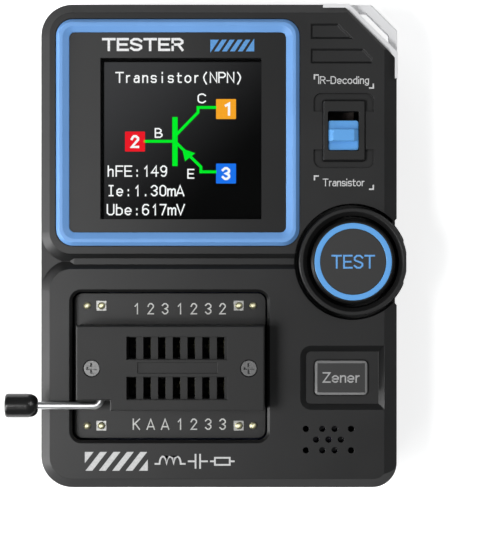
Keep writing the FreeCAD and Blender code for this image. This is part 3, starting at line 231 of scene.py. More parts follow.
class Shader:
    """The nodes of one new material or world, all made by a single method."""

    def __init__(self, name, library="materials"):
        self.owner = getattr(bpy.data, library).new(name)
        self.owner.use_nodes = True
        self.tree = self.owner.node_tree
        self.tree.nodes.clear()
        self.place = self.node("TexCoord", output="Object")

    def node(self, kind, settings=None, inputs=None, output=0):
        """A node of the kind, its settings made first, then its sockets given values or links."""
        made = self.tree.nodes.new("ShaderNode" + kind)
        for name, value in (settings or {}).items():
            setattr(made, name, value)
        for name, value in (inputs or {}).items():
            if isinstance(value, Signal):
                self.tree.links.new(value.socket, made.inputs[name])
            else:
                made.inputs[name].default_value = value
        return Signal(self, made.outputs[output]) if made.outputs else None

    def noise(self, size, detail=2.0, stretch=(1, 1, 1)):
        """Soft noise from 0 to 1 whose blobs have the size, in metres."""
        spot = self.node("Mapping", {"vector_type": "POINT"}, {"Vector": self.place, "Scale": stretch})
        return self.node("TexNoise", {"noise_dimensions": "3D"},
                         {"Vector": spot, "Scale": 1 / size, "Detail": detail, "Roughness": 0.55})

    def axes(self):
        """The three object coordinates, in metres."""
        parts = self.node("SeparateXYZ", None, {0: self.place})
        return [Signal(self, socket) for socket in parts.socket.node.outputs]

    def fade(self, value, low, high, start=0.0, end=1.0):
        """A smooth step of a value between two limits."""
        return self.node("MapRange", {"interpolation_type": "SMOOTHSTEP", "clamp": True},
                         {0: value, 1: low, 2: high, 3: start, 4: end})

    def mix(self, factor, first, second):
        """A colour between two colours."""
        inputs = {0: factor, 6: as_rgba(first), 7: as_rgba(second)}
        return self.node("Mix", {"data_type": "RGBA", "clamp_factor": True}, inputs, 2)

    def round_edges(self, radius):
        """The surface normal with every edge rounded to the radius, in metres."""
        return self.node("Bevel", {"samples": 4}, {"Radius": radius})

    def edges(self, rounded):
        """1 on rounded edges and 0 on flat faces."""
        plain = self.node("NewGeometry", None, None, "Normal")
        match = self.node("VectorMath", {"operation": "DOT_PRODUCT"}, {0: rounded, 1: plain}, "Value")
        return self.fade(1 - match, 0.02, 0.18)

    def bump(self, height, distance, normal=None):
        """A normal raised by a height from 0 to 1 over a distance in metres."""
        inputs = {"Height": height, "Distance": distance, "Strength": 1.0}
        if normal is not None:
            inputs["Normal"] = normal
        return self.node("Bump", None, inputs)

    def principled(self, values):
        """The main surface shader."""
        return self.node("BsdfPrincipled", None, values)

    def finish(self, surface, kind="Material"):
        """Link the surface to an output of the kind and return the material or world."""
        self.node("Output" + kind, None, {"Surface": surface})
        return self.owner


def as_rgba(value):
    """A colour with an alpha of 1, or a linked colour as it is."""
    return value if isinstance(value, Signal) else (*value[:3], 1.0)


def scaled(rgb, factor):
    """A colour made lighter or darker."""
    return tuple(min(1.0, part * factor) for part in rgb)


# ---------------------------------------------------------------- finishes

def moulded(name, rgb, roughness=0.45, grain=0.16 * MM, depth=0.004 * MM, rounding=0.12 * MM,
            wear=1.6, specular=0.35, coat=0.0):
    """Moulded plastic: fine spark grain, cloudy gloss and edges polished a little lighter."""
    shader = Shader(name)
    rounded = shader.round_edges(rounding)
    edge = shader.edges(rounded)
    cloud = shader.noise(14 * MM, 3.0)
    fine = shader.noise(grain, 2.0)
    body = shader.mix(cloud, scaled(rgb, 0.90), scaled(rgb, 1.10))
    body = shader.mix(edge * 0.55, body, scaled(rgb, wear))
    gloss = roughness - 0.07 + cloud * 0.10 + fine * 0.05 - edge * 0.08
    return shader.finish(shader.principled({
        "Base Color": body, "Roughness": gloss, "Normal": shader.bump(fine, depth, rounded),
        "Specular IOR Level": specular, "Coat Weight": coat, "Coat Roughness": 0.12}))


def metal(name, rgb, roughness=0.25, grain=0.05 * MM, stretch=(1, 1, 1), rounding=0.06 * MM):
    """Bare or plated metal with fine drawn marks and small spots of tarnish."""
    shader = Shader(name)
    rounded = shader.round_edges(rounding)
    marks = shader.noise(grain, 3.0, stretch)
    spots = shader.fade(shader.noise(1.1 * MM, 4.0), 0.55, 0.75)
    tone = shader.mix(marks, scaled(rgb, 0.86), scaled(rgb, 1.08))
    tone = shader.mix(spots * 0.35, tone, scaled(rgb, 0.55))
    return shader.finish(shader.principled({
        "Base Color": tone, "Metallic": 1.0, "Roughness": roughness - 0.05 + marks * 0.10 + spots * 0.12,
        "Normal": shader.bump(marks, 0.002 * MM, rounded)}))


def ink(name, rgb, roughness=0.5):
    """Screen-printed ink: a slightly uneven film."""
    shader = Shader(name)
    patch = shader.noise(0.35 * MM, 3.0)
    tone = shader.mix(shader.fade(patch, 0.35, 0.75), scaled(rgb, 0.86), scaled(rgb, 1.04))
    return shader.finish(shader.principled({
        "Base Color": tone, "Roughness": roughness - 0.06 + patch * 0.12,
        "Normal": shader.bump(patch, 0.003 * MM)}))


def light(name, rgb, strength):
    """Lit display dots: a glowing colour broken into fine rows and columns."""
    shader = Shader(name)
    x, y, _ = shader.axes()
    dots = [shader.fade(shader.node("Math", {"operation": "PINGPONG"}, {0: axis, 1: 0.11 * MM}),
                        0.0, 0.03 * MM) for axis in (x, y)]
    glow = shader.mix(dots[0] * dots[1], scaled(rgb, 0.72), rgb)
    return shader.finish(shader.principled({
        "Base Color": (*scaled(rgb, 0.02), 1.0), "Roughness": 0.5, "Emission Color": glow,
        "Emission Strength": strength, "Specular IOR Level": 0.0}))


# ---------------------------------------------------------------- surfaces

def dress(material, *nodes):
    """Give CAD nodes a finish in place of their plain one."""
    for name in nodes:
        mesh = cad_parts[name].data
        mesh.materials.clear()
        mesh.materials.append(material)


def piece(name, parts, material, body, smooth=False):
    """One object made of closed parts, each a pair of vertices in millimetres and faces."""
    vertices, faces, start = [], [], 0
    for points, loops in parts:
        vertices.append(np.asarray(points, float))
        faces += [tuple(int(corner) + start for corner in loop) for loop in loops]
        start += len(points)
    mesh = bpy.data.meshes.new(name)
    mesh.from_pydata((np.concatenate(vertices) * MM).tolist(), [], faces)
    mesh.polygons.foreach_set("use_smooth", [smooth] * len(faces))
    mesh.materials.append(material)
    made = bpy.data.objects.new(name, mesh)
    bpy.context.scene.collection.objects.link(made)
    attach(made, body)
    return made


def prism(outline, low, high):
    """A closed block: an anticlockwise outline at two levels, joined by one wall for each side."""
    outline = np.asarray(outline, float)
    count = len(outline)
    levels = [np.column_stack([outline, np.full(count, level)]) for level in (low, high)]
    ring = np.arange(count)
    walls = np.column_stack([ring, np.roll(ring, -1), np.roll(ring, -1) + count, ring + count])
    return np.concatenate(levels), [tuple(ring[::-1]), tuple(ring + count), *map(tuple, walls)]


def frame_prism(outer, inner, low, high):
    """A closed band between two outlines with the same number of points, at two levels."""
    count = len(outer)
    loops = [np.column_stack([loop, np.full(count, level)])
             for loop, level in ((outer, low), (outer, high), (inner, high), (inner, low))]
    ring, after = np.arange(count), np.roll(np.arange(count), -1)
    faces = []
    for side in range(4):
        here, there = side * count, (side + 1) % 4 * count
        faces += map(tuple, np.column_stack([ring + here, after + here, after + there, ring + there]))
    return np.concatenate(loops), faces


def corners(low, high, radius, steps=8):
    """An anticlockwise rectangle: four quarter circles, each about a point the radius in from a corner."""
    quarter = np.linspace(0, math.pi / 2, steps)
    low, high = np.array(low[:2]), np.array(high[:2])
    middles = [(high[0] - radius, high[1] - radius), (low[0] + radius, high[1] - radius),
               (low[0] + radius, low[1] + radius), (high[0] - radius, low[1] + radius)]
    arcs = [np.column_stack([x + radius * np.cos(quarter + turn * math.pi / 2),
                             y + radius * np.sin(quarter + turn * math.pi / 2)])
            for turn, (x, y) in enumerate(middles)]
    return np.concatenate(arcs)


def slanted_bar(left, low, high, width, lean):
    """Outline of a bar whose top is moved sideways by the lean."""
    return [(left, low), (left + width, low), (left + width + lean, high), (left + lean, high)]


def corner_mark(x, y, way):
    """Outline of an L of two arms: its corner at the point, its arms to the right and down for 1, or turned
    half round for -1."""
    arm, line = MARK_ARM, MARK_LINE
    outline = np.array([(0, -arm), (line, -arm), (line, -line), (arm, -line), (arm, 0), (0, 0)])
    return outline * way + (x, y)


# Strokes of the letters, each a run of points: a hexadecimal digit across, and one up, with the baseline at
# 3 and the top at f. "!" is a numeral one with a short flag, and "|" a capital I with serifs.
GLYPHS = {
    "T": "0f8f 4f43", "E": "7f0f0373 0969", "S": "7d6e5f2f1e0d0b1a6877756453231405", "Z": "0f7f0373",
    "R": "030f5f6e7d7b6a5909 4973", "e": "0767695a4b2b1a090514234354", "n": "030b 092b4b5a53",
    "r": "030b 092b3b", "I": "0f03", "-": "0848", "D": "030f4f6e7c76644303", "c": "5a4b2b1a090514234354",
    "o": "2b1a09051423435465695a4b2b", "d": "5f53 5a4b2b1a090514234354", "i": "030a 0e0f",
    "g": "5b52402001 5a4b2b1a090514234354", "a": "1a2b4b5a53 58280704133355", "s": "5a4b1b0a0817475654431304",
    "t": "1e142343 0b4b", "(": "3f1c091531", ")": "0f2c392501", "N": "030f737f", "P": "030f5f6e7d7b6a5909",
    "h": "030f 092b4b5a53", "F": "7f0f03 0969", ":": "0304 090a", "4": "535f0777",
    "1": "0c2f23", "!": "1d2f23", "|": "2f23 0f4f 0343",
    "9": "6b594828190b0d1e2f4f5e6d6754432314", ".": "0304", "3": "0d1e2f4f5e6d6b5a395867655443231405",
    "0": "2f1e0d0514234354656d5e4f2f", "m": "030b 092b3b4a43 496b7b8a83", "A": "034f83 1676",
    "U": "0f0514235364757f", "b": "030f 0a1b4b5a696554431304", "6": "6e5f2f1e0c05142343546568594a2a08",
    "7": "0f6f23", "V": "0f438f", "C": "7d6e5f3f1e0c061433536475", "B": "030f4f5e6d6b5a4909 49687775645303",
    "K": "030f 7f08 2a73", "2": "0c1e2f4f5e6d6b0363", "u": "0b0514234354 5b53"}
BASELINE, CAP_UNITS = 3, 12         # where letters stand, and how high a capital is over that
LETTER_GAP, CELL_UNITS = 2.6, 9.5   # between letters set close, and the width of an even cell


def ribbon(path, width, low, high):
    """A closed band along a path: its sides lie half the width away along mitred normals."""
    path = np.array(path, float)
    ring = np.allclose(path[0], path[-1])
    path = path[:-1] if ring else path
    ahead = np.roll(path, -1, axis=0) - path
    if not ring:
        ahead[-1] = ahead[-2]
    ahead /= np.linalg.norm(ahead, axis=1)[:, None]
    behind = np.roll(ahead, 1, axis=0)
    if not ring:
        behind[0] = ahead[0]
        path[0] -= ahead[0] * width / 2
        path[-1] += ahead[-1] * width / 2
    mitre = ahead + behind
    mitre = np.column_stack([-mitre[:, 1], mitre[:, 0]]) / np.linalg.norm(mitre, axis=1)[:, None]
    share = (mitre * np.column_stack([-ahead[:, 1], ahead[:, 0]])).sum(axis=1)
    reach = mitre * (width / 2 / np.clip(share, 0.5, 1.0))[:, None]
    if not ring:
        return prism(np.concatenate([path - reach, (path + reach)[::-1]]), low, high)
    area = (path[:, 0] * np.roll(path[:, 1], -1) - path[:, 1] * np.roll(path[:, 0], -1)).sum()
    outer, inner = (path - reach, path + reach) if area > 0 else ((path + reach)[::-1], (path - reach)[::-1])
    return frame_prism(outer, inner, low, high)


def strokes(run):
    """Points of one stroke: the even digits go across, and the odd ones up from the baseline."""
    digits = np.array([int(digit, 16) for digit in run], float)
    return np.column_stack([digits[::2], digits[1::2] - BASELINE])


def words(text, left, baseline, cap, width, level, line=0.26, even=False, thick=INK):
    """Letters as closed ribbons, each stroke's points scaled to the width and the cap height. They are set
    close between two sides, or each in the middle of its cell when all cells have one width."""
    shapes = [[strokes(run) for run in GLYPHS[letter].split()] for letter in text]
    spans = np.array([max(run[:, 0].max() for run in shape) for shape in shapes])
    if even:
        unit, cell = cap / CAP_UNITS, width / len(text)
        scale = min(1.0, cell / (CELL_UNITS * unit)) * unit
        starts = left + (np.arange(len(text)) + 0.5) * cell - spans * scale / 2
    else:
        scale = (width - line) / (spans.sum() + LETTER_GAP * (len(text) - 1))
        starts = left + line / 2 + scale * (np.cumsum(spans + LETTER_GAP) - spans - LETTER_GAP)
    sizes = (scale, (cap - line) / CAP_UNITS)
    return [ribbon(run * sizes + (start, baseline + line / 2), line, level, level + thick + layer * LAYER)
            for start, shape in zip(starts, shapes) for layer, run in enumerate(shape)]


# ---------------------------------------------------------------- one operator for each piece

class TesterCase(bpy.types.Operator):
    """Finish the shells, the corner loop and the back, and print the face"""
    bl_idname = "tester.case"
    bl_label = "Case"

    def execute(self, context):
        looks = context.scene.tester_case
        shell = moulded("case_plastic", looks.plastic, looks.roughness, looks.grain)
        dress(shell, "front_cover", "rear_cover")
        dress(moulded("loop_plastic", looks.loop, 0.42, 0.3 * MM, wear=1.25), "lanyard_loop")
        dress(moulded("label_film", scaled(looks.plastic, 4.0), 0.34, 0.4 * MM), "rear_label")
        dress(metal("dark_zinc", (0.26, 0.26, 0.27), 0.36), "case_screws")
        paint = ink("face_ink", looks.ink)
        x, y = MODE_CENTRE[:2]
        for name, text, side, baseline, width in SWITCH_WORDS:
            piece(name, words(text, x + side, y + baseline, SWITCH_LETTER, width, FACE, 0.16), paint, "case")
        marks = [prism(corner_mark(x + side, y + up, way), FACE, FACE + INK)
                 for side, up, way in SWITCH_MARKS]
        piece("label_corners", marks, paint, "case")
        left, top = CARD_LOW[0] + 2.02, CARD_LOW[1] - 2.22
        width, height = 11.05, 3.3
        piece("face_bars", hatch(left, top - height, top, width, 1.2, 2.35, 2.58, FACE), paint, "case")
        piece("face_symbols", component_symbols(left + width + 2.05, top - height / 2, FACE), paint, "case")
        return {"FINISHED"}


def hatch(left, low, top, width, bar, pitch, lean, level):
    """Slanted bars a pitch apart in the middle of a rectangle, with a triangle in the two corners that
    they leave: the bars' own slope, carried on to the rectangle's sides."""
    count = int((width - lean - bar) / pitch) + 1
    start = left + (width - lean - bar - (count - 1) * pitch) / 2
    parts = [prism(slanted_bar(start + step * pitch, low, top, bar, lean), level, level + INK)
             for step in range(count)]
    reach = start + lean - (pitch - bar) - left
    drop = reach / lean * (top - low)
    if reach > 0.3:
        right = left + width
        parts.append(prism([(left, top - drop), (left + reach, top), (left, top)], level, level + INK))
        parts.append(prism([(right - reach, low), (right, low), (right, low + drop)], level, level + INK))
    return parts


def component_symbols(left, middle, level, line=0.30):
    """A coil, a capacitor and a resistor drawn as circuit symbols in a row. Each turn of the coil is half an
    ellipse: its width times the angle's cosine, and 2.1 times as high."""
    radius, drop, lead, plate, gap = 0.62, 0.45, 0.7, 1.15, 0.8
    turn = np.linspace(math.pi, 0, 8)
    base = middle - drop
    high = 2.1 * radius
    arcs = [np.column_stack([left + radius * (2 * step + 1 + np.cos(turn)), base + high * np.sin(turn)])
            for step in range(3)]
    coil = np.concatenate([[(left - lead, base)], arcs[0], arcs[1][1:], arcs[2][1:],
                           [(left + 6 * radius + lead, base)]])
    x = left + 6 * radius + 2.6
    box, long, tall = x + 3.4, 2.6, 0.62
    runs = (coil, ((x - 1.2, middle), (x, middle)), ((x, middle - plate), (x, middle + plate)),
            ((x + gap, middle - plate), (x + gap, middle + plate)), ((x + gap, middle), (x + 2.0, middle)),
            ((box - lead, middle), (box, middle)), ((box + long, middle), (box + long + lead, middle)),
            ((box, middle - tall), (box + long, middle - tall), (box + long, middle + tall),
             (box, middle + tall), (box, middle - tall)))
    return [ribbon(run, line, level, level + INK + layer * LAYER) for layer, run in enumerate(runs)]


class TesterScreen(bpy.types.Operator):
    """Finish the screen frame, lens and inner display parts, and draw the lit picture"""
    bl_idname = "tester.screen"
    bl_label = "Screen"

    def execute(self, context):
        looks = context.scene.tester_screen
        dress(moulded("bezel_blue", looks.bezel, 0.34, 0.25 * MM, rounding=0.25 * MM, wear=1.5),
              "screen_bezel")
        dress(lens_finish(), "screen_lens")
        dress(display_finish(looks.glow), "display_panel")
        dress(moulded("backlight_white", (0.75, 0.76, 0.78), 0.35), "display_backlight")
        dress(moulded("foam_black", (0.02, 0.02, 0.02), 0.9, 0.5 * MM, 0.03 * MM), "lens_tape",
              "display_gasket", "battery_foam")
        dress(moulded("carrier_white", (0.70, 0.70, 0.68), 0.5), "display_carrier")
        dress(moulded("flex_amber", (0.50, 0.22, 0.03), 0.3), "display_flex")
        level, low = LENS_HIGH[2], WINDOW_HIGH[1] + 1.2
        piece("lens_word", words("TESTER", LENS_LOW[0] + 5.7, low, 2.3, 14.3, level, 0.42),
              ink("lens_ink", (0.85, 0.85, 0.85), 0.35), "case")
        piece("lens_bars", hatch(WINDOW_HIGH[0] - 8.97, low - 0.05, low + 2.0, 7.7, 0.85, 1.38, 1.35, level),
              ink("accent_ink", looks.accent, 0.35), "case")
        draw_display(looks)
        return {"FINISHED"}


def lens_finish():
    """Gloss black border with a clear window in it, a rectangle of the display's size."""
    shader = Shader("lens_acrylic")
    x, y, _ = shader.axes()
    middle, half = (WINDOW_LOW + WINDOW_HIGH) / 2 * MM, (WINDOW_HIGH - WINDOW_LOW) / 2 * MM
    outside = ((x - middle[0]).distance() > half[0]) | ((y - middle[1]).distance() > half[1])
    smear = shader.noise(9 * MM, 4.0)
    # painted sheen: the border's colour is lighter at the left side and darker at the right
    sheen = shader.fade(x, LENS_LOW[0] * MM, LENS_HIGH[0] * MM)
    tone = shader.mix(sheen, (0.050, 0.050, 0.050), (0.022, 0.022, 0.022))
    border = shader.principled({"Base Color": tone, "Roughness": 0.16 + smear * 0.06,
                                "Specular IOR Level": 0.35})
    clear = shader.node("BsdfTransparent", None, {"Color": (0.97, 0.98, 0.98, 1.0)})
    gloss = shader.node("BsdfGlossy", None, {"Color": (1, 1, 1, 1), "Roughness": 0.08})
    window = shader.node("MixShader", None, {0: 0.004, 1: clear, 2: gloss})
    return shader.finish(shader.node("MixShader", None, {0: outside, 1: window, 2: border}))


def display_finish(glow):
    """The unlit part of the display: a faint grey glow that falls off towards the lower right, a painted
    reflection, and a thin black painted shadow along the window's left and top edges.
    """
    shader = Shader("display_glass")
    x, y, _ = shader.axes()
    low, size = WINDOW_LOW * MM, (WINDOW_HIGH - WINDOW_LOW) * MM
    across, along = (x - low[0]) / size[0], (y - low[1]) / size[1]
    # painted reflection: the grey glow is brightest at the upper left and fades to black at the lower right
    painted_reflection = shader.fade(along - across, -0.55, 1.0)
    # painted shadow: a thin strip along the window's left and top edges stays black
    inner = (across > 0.02) * (along < 0.98)
    tone = shader.mix(painted_reflection * inner, (0.001, 0.001, 0.001), (0.042, 0.042, 0.044))
    return shader.finish(shader.principled({
        "Base Color": (0.001, 0.001, 0.001, 1.0), "Roughness": 0.5 + painted_reflection * 0.05, "Emission Color": tone,
        "Emission Strength": glow, "Specular IOR Level": 0.0}))


def draw_display(looks):
    """A transistor with numbered leads and three lines of readings, as flat lit pieces."""
    under, over = PANEL_TOP, PANEL_TOP + INK
    left, low = WINDOW_LOW
    word_light = light("display_white", looks.words, looks.glow)
    letters = [block for text, u, v, cap, width in DISPLAY_LINES
               for block in words(text, left + u, low + v, cap, width, under, 0.24, len(text) > 1)]
    piece("display_words", letters, word_light, "case")
    parts = [ribbon(np.array(run) + WINDOW_LOW, WIRE_LINE, under, over + layer * LAYER)
             for layer, run in enumerate(DISPLAY_WIRES)]
    parts.append(prism(np.array(DISPLAY_BAR) + WINDOW_LOW, under, over))
    parts.append(prism(np.array(DISPLAY_ARROW) + WINDOW_LOW, under, over + INK))
    piece("display_wires", parts, light("display_green", looks.wire, looks.glow), "case")
    digits = []
    for lead, (numeral, place, rgb) in enumerate(DISPLAY_LEADS, start=1):
        corner = WINDOW_LOW + place
        square = prism(corners(corner, corner + LEAD_SIDE, LEAD_CORNER, 3), under, over)
        piece(f"display_lead_{lead}", [square], light(f"display_colour_{lead}", rgb, looks.glow), "case")
        digits += words(numeral, corner[0] + 1.0, corner[1] + 0.6, 2.3, 1.5, over, 0.42)
    piece("display_numbers", digits, word_light, "case")


class TesterKeys(bpy.types.Operator):
    """Finish the two push buttons and the slide switch, and print their words"""
    bl_idname = "tester.keys"
    bl_label = "Buttons and slide switch"

    def execute(self, context):
        looks = context.scene.tester_keys
        dress(round_finish(looks), "test_button")
        dress(moulded("collar_plastic", scaled(looks.cap, 0.34), 0.38, 0.2 * MM, rounding=0.2 * MM),
              "test_collar")
        dress(moulded("key_blue", looks.accent, 0.30, 0.3 * MM, rounding=0.25 * MM, wear=1.5),
              "test_button_ring", "mode_slider_knob")
        dress(oblong_finish(looks), "zener_button")
        dress(moulded("frame_plastic", (0.008, 0.008, 0.008), 0.42, 0.25 * MM), "mode_switch_frame")
        x, y = TEST_CENTRE[:2]
        piece("button_word_test", words("TEST", x - 3.8, y - 1.2, 2.4, 7.6, CAP_TOP, 0.30),
              ink("key_ink", looks.accent, 0.4), "test_key")
        x, y = (ZENER_LOW + ZENER_HIGH)[:2] / 2
        piece("button_word_zener", words("Zener", x - 3.25, y - 0.85, 1.85, 6.5, ZENER_HIGH[2], 0.24),
              ink("grey_ink", (0.42, 0.42, 0.42)), "zener_key")
        return {"FINISHED"}


def round_finish(looks):
    """Dark grey cap, painted nearly black outside its coloured ring: painted shade of the gap between the
    ring and the collar.
    """
    shader = Shader("key_plastic")
    x, y, _ = shader.axes()
    across, along = x - TEST_CENTRE[0] * MM, y - TEST_CENTRE[1] * MM
    reach = (RING_HIGH[0] - RING_LOW[0]) / 2 * MM
    # painted shade: the cap outside the ring is darkened to 0.12 of its colour, standing in for the shade in
    # the gap around the ring
    outside = (across * across + along * along) > reach ** 2
    fine = shader.noise(0.2 * MM)
    rounded = shader.round_edges(0.2 * MM)
    body = shader.mix(fine, scaled(looks.cap, 0.92), scaled(looks.cap, 1.08))
    tone = shader.mix(outside, body, scaled(looks.cap, 0.12))
    return shader.finish(shader.principled({
        "Base Color": tone, "Roughness": 0.40 + fine * 0.06, "Specular IOR Level": 0.35,
        "Normal": shader.bump(fine, 0.004 * MM, rounded)}))


def oblong_finish(looks):
    """Dark grey key whose bevelled rim is printed in a lighter grey."""
    shader = Shader("key_grey")
    x, y, z = shader.axes()
    middle = (ZENER_LOW + ZENER_HIGH) / 2 * MM
    half = ((ZENER_HIGH - ZENER_LOW)[:2] / 2 - FLANGE_REACH - RIM_LINE) * MM
    rim = ((x - middle[0]).distance() > half[0]) | ((y - middle[1]).distance() > half[1])
    top = z > (ZENER_HIGH[2] - RIM_LINE) * MM
    fine = shader.noise(0.2 * MM)
    rounded = shader.round_edges(0.15 * MM)
    body = shader.mix(fine, scaled(looks.cap, 0.62), scaled(looks.cap, 0.86))
    tone = shader.mix(rim * top, body, looks.grey)
    return shader.finish(shader.principled({
        "Base Color": tone, "Roughness": 0.42 + fine * 0.06,
        "Normal": shader.bump(fine, 0.004 * MM, rounded)}))


class TesterSocket(bpy.types.Operator):
    """Finish the lever socket, its lever, screws and contacts, and its board"""
    bl_idname = "tester.socket"
    bl_label = "Lever socket and board"

    def execute(self, context):
        looks = context.scene.tester_socket
        dress(moulded("socket_plastic", looks.nylon, 0.50, 0.14 * MM, 0.006 * MM, rounding=0.1 * MM),
              "zif_base", "zif_cover")
        dress(moulded("slider_plastic", scaled(looks.nylon, 0.85), 0.48, 0.14 * MM, rounding=0.08 * MM),
              "zif_slider")
        dress(metal("contact_gold", looks.gold, 0.52, 0.12 * MM), "board_pins")
        # painted shade: the socket's contacts take the pins' gold darkened to 0.12, standing in for the shade
        # of the deep cells
        dress(metal("contact_bronze", scaled(looks.gold, 0.12), 0.45, 0.12 * MM), "zif_contacts")
        dress(metal("tinned_pads", (0.36, 0.36, 0.35), 0.42, 0.2 * MM), "board_pads")
        dress(metal("screw_steel", (0.15, 0.15, 0.15), 0.40, 0.1 * MM), "zif_cover_screws")
        dress(chrome_wire(looks.chrome), "zif_lever")
        dress(moulded("lever_cap", (0.008, 0.008, 0.008), 0.24, 0.5 * MM, 0.002 * MM, wear=1.0, coat=0.3),
              "zif_lever_knob")
        dress(moulded("board_mask", looks.mask, 0.40, 0.5 * MM, rounding=0.15 * MM), "socket_board")
        white = ink("board_ink", looks.marking, 0.6)
        wide = {"1": 0.6, "K": 1.3, "A": 1.5}
        rows = (("1231232", CARD_HIGH[1] - 3.72), ("KAA1233", CARD_LOW[1] + 1.44))
        for row, (text, baseline) in enumerate(rows, start=1):
            letters = []
            for step, letter in enumerate(text):
                width = wide.get(letter, 1.15)
                left = CELLS_CENTRE[0] + (step - len(text) // 2) * PITCH - width / 2
                letters += words(letter, left, baseline, 2.0, width, CARD_HIGH[2], 0.22)
            piece(f"board_print_{row}", letters, white, "case")
        return {"FINISHED"}


def chrome_wire(rgb):
    """Plated wire: long drawn marks, and a painted reflection of the case that makes the upper side darker.
    """
    shader = Shader("lever_chrome")
    _, y, _ = shader.axes()
    marks = shader.noise(0.3 * MM, 3.0, (0.05, 1, 1))
    # painted reflection: the base colour darkens to 0.42 towards the wire's upper side
    side = shader.fade(y, (ARM_Y - 0.15) * MM, (ARM_Y + 0.45) * MM)
    tone = shader.mix(marks, scaled(rgb, 0.85), rgb)
    tone = shader.mix(side, tone, scaled(rgb, 0.42))
    return shader.finish(shader.principled({
        "Base Color": tone, "Metallic": 1.0, "Roughness": 0.34 + marks * 0.08,
        "Normal": shader.bump(marks, 0.002 * MM)}))


class TesterInside(bpy.types.Operator):
    """Finish everything inside the case"""
    bl_idname = "tester.inside"
    bl_label = "Inner parts"

    def execute(self, context):
        dress(moulded("board_mask_blue", (0.004, 0.010, 0.045), 0.35, 0.9 * MM, 0.02 * MM), "main_board",
              "battery_board")
        dress(moulded("chip_epoxy", (0.02, 0.02, 0.022), 0.55, 0.25 * MM), "mcu_chip", "charger_chip",
              "regulator_chip", "memory_chip", "chip_resistors")
        dress(moulded("capacitor_tan", (0.40, 0.27, 0.14), 0.45), "chip_capacitors")
        dress(moulded("ferrite", (0.09, 0.09, 0.10), 0.7, 0.3 * MM, 0.02 * MM), "boost_inductor")
        dress(moulded("infrared_epoxy", (0.012, 0.006, 0.03), 0.12, coat=0.4), "ir_receiver")
        dress(moulded("switch_plastic", (0.03, 0.03, 0.03), 0.5), "test_switch_body", "zener_switch_body",
              "test_switch_plunger", "zener_switch_plunger", "mode_switch_stem", "flex_connector",
              "header_sockets", "usb_c_tongue")
        dress(metal("switch_steel", (0.62, 0.62, 0.63), 0.28, 0.08 * MM, (1, 0.1, 1)), "usb_c_socket")
        dress(metal("blackened_steel", (0.055, 0.045, 0.042), 0.5, 0.08 * MM), "mode_switch_body")
        dress(metal("solder", (0.72, 0.72, 0.73), 0.35, 0.3 * MM), "crystal", "ir_receiver_leads",
              "battery_tabs")
        dress(metal("pouch_foil", (0.70, 0.70, 0.72), 0.38, 1.5 * MM, (1, 0.2, 1)), "battery")
        return {"FINISHED"}


class TesterStage(bpy.types.Operator):
    """Set the camera, the pale floor and the soft lights"""
    bl_idname = "tester.stage"
    bl_label = "Stage"

    def execute(self, context):
        looks = context.scene.tester_stage
        scene = context.scene
        plain_floor(looks.table)
        lens = bpy.data.cameras.new("camera")
        lens.sensor_fit = "VERTICAL"
        lens.angle = 2 * math.atan(looks.shown / 2 / (looks.eye_z - FACE * MM))
        lens.clip_start, lens.clip_end = 0.01, 10.0
        eye = bpy.data.objects.new("camera", lens)
        eye.location = (looks.eye_x, looks.eye_y, looks.eye_z)
        scene.collection.objects.link(eye)
        scene.camera = eye
        for name, place, size, power in SOFTBOXES:
            softbox(name, place, size, getattr(looks, power))
        scene.world = studio(looks)
        scene.view_settings.view_transform = "Standard"
        return {"FINISHED"}


def studio(looks):
    """Even surroundings that the camera sees as bright and that light the tester weakly."""
    shader = Shader("studio", "worlds")
    seen = shader.node("LightPath", output="Is Camera Ray")
    strength = shader.node("MapRange", None, {"Value": seen, "To Min": looks.world, "To Max": looks.backdrop})
    dome = shader.node("Background", None, {"Color": (0.95, 0.98, 1.0, 1.0), "Strength": strength})
    return shader.finish(dome, "World")


def plain_floor(glow):
    """A flat sheet just under the tester: a grid of three points a side, centred below it."""
    steps = np.linspace(-FLOOR_SIDE / 2, FLOOR_SIDE / 2, 3)
    x, y = np.meshgrid(steps, steps)
    points = np.stack([x, y, np.full_like(x, -FLOOR_DROP)], axis=-1).reshape(-1, 3) * MM
    first = np.array([0, 1, 3, 4])
    faces = np.column_stack([first, first + 1, first + 4, first + 3])
    mesh = bpy.data.meshes.new("floor")
    mesh.from_pydata(points.tolist(), [], faces.tolist())
    shader = Shader("floor_white")
    cloud = shader.noise(0.4, 2.0)
    tone = shader.mix(cloud, (0.86, 0.86, 0.86), (0.90, 0.90, 0.90))
    mesh.materials.append(shader.finish(shader.principled({
        "Base Color": tone, "Roughness": 0.9, "Specular IOR Level": 0.1, "Emission Color": tone,
        "Emission Strength": glow})))
    floor = bpy.data.objects.new("floor", mesh)
    bpy.context.scene.collection.objects.link(floor)
    return floor


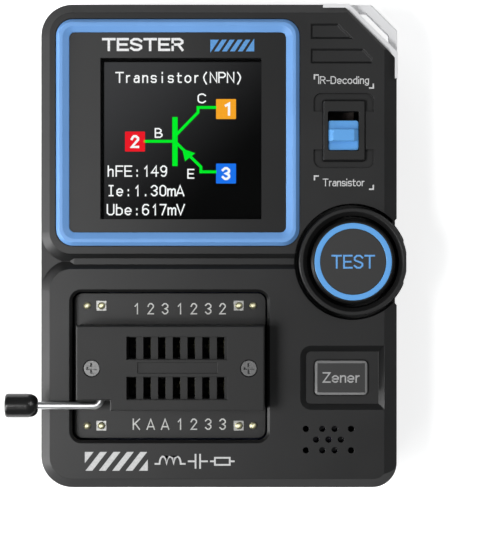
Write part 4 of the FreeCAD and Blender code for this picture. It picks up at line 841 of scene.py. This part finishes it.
def softbox(name, place, size, power):
    """A square soft light that faces the tester."""
    lamp = bpy.data.lights.new(name, "AREA")
    lamp.shape = "SQUARE"
    lamp.size = size
    lamp.energy = power
    holder = bpy.data.objects.new(name, lamp)
    aim = Vector((0, 0, FACE * MM)) - Vector(place)
    holder.location = place
    holder.rotation_euler = aim.to_track_quat("-Z", "Y").to_euler()
    bpy.context.scene.collection.objects.link(holder)


class TesterPanel(bpy.types.Panel):
    """The tester's sizes, colours and steps"""
    bl_idname = "VIEW3D_PT_tester"
    bl_label = "Component Tester"
    bl_space_type = "VIEW_3D"
    bl_region_type = "UI"
    bl_category = "Tester"

    def draw(self, context):
        for operator, group in STEPS:
            box = self.layout.box()
            box.operator(operator.bl_idname)
            if group:
                looks = getattr(context.scene, group)
                for name in looks.bl_rna.properties.keys():
                    if name not in ("rna_type", "name"):
                        box.prop(looks, name)


GROUPS = {"tester_case": CaseLooks, "tester_screen": ScreenLooks, "tester_keys": KeyLooks,
          "tester_socket": SocketLooks, "tester_stage": StageLooks}
STEPS = ((TesterCase, "tester_case"), (TesterScreen, "tester_screen"), (TesterKeys, "tester_keys"),
         (TesterSocket, "tester_socket"), (TesterInside, None), (TesterStage, "tester_stage"))


def register():
    """Make the classes known and hang the settings on the scene."""
    for name, group in GROUPS.items():
        bpy.utils.register_class(group)
        setattr(bpy.types.Scene, name, bpy.props.PointerProperty(type=group))
    for operator, _ in STEPS:
        bpy.utils.register_class(operator)
    bpy.utils.register_class(TesterPanel)


def unregister():
    """Take the classes and the settings away."""
    bpy.utils.unregister_class(TesterPanel)
    for operator, _ in reversed(STEPS):
        bpy.utils.unregister_class(operator)
    for name, group in GROUPS.items():
        delattr(bpy.types.Scene, name)
        bpy.utils.unregister_class(group)


def plain(bounds):
    """A box as plain lists of numbers."""
    return [[float(part) for part in corner] for corner in bounds]


def main():
    """Run every step in order."""
    register()
    for operator, _ in STEPS:
        group, name = operator.bl_idname.split(".")
        getattr(getattr(bpy.ops, group), name)()


if __name__ == "__main__":
    main()
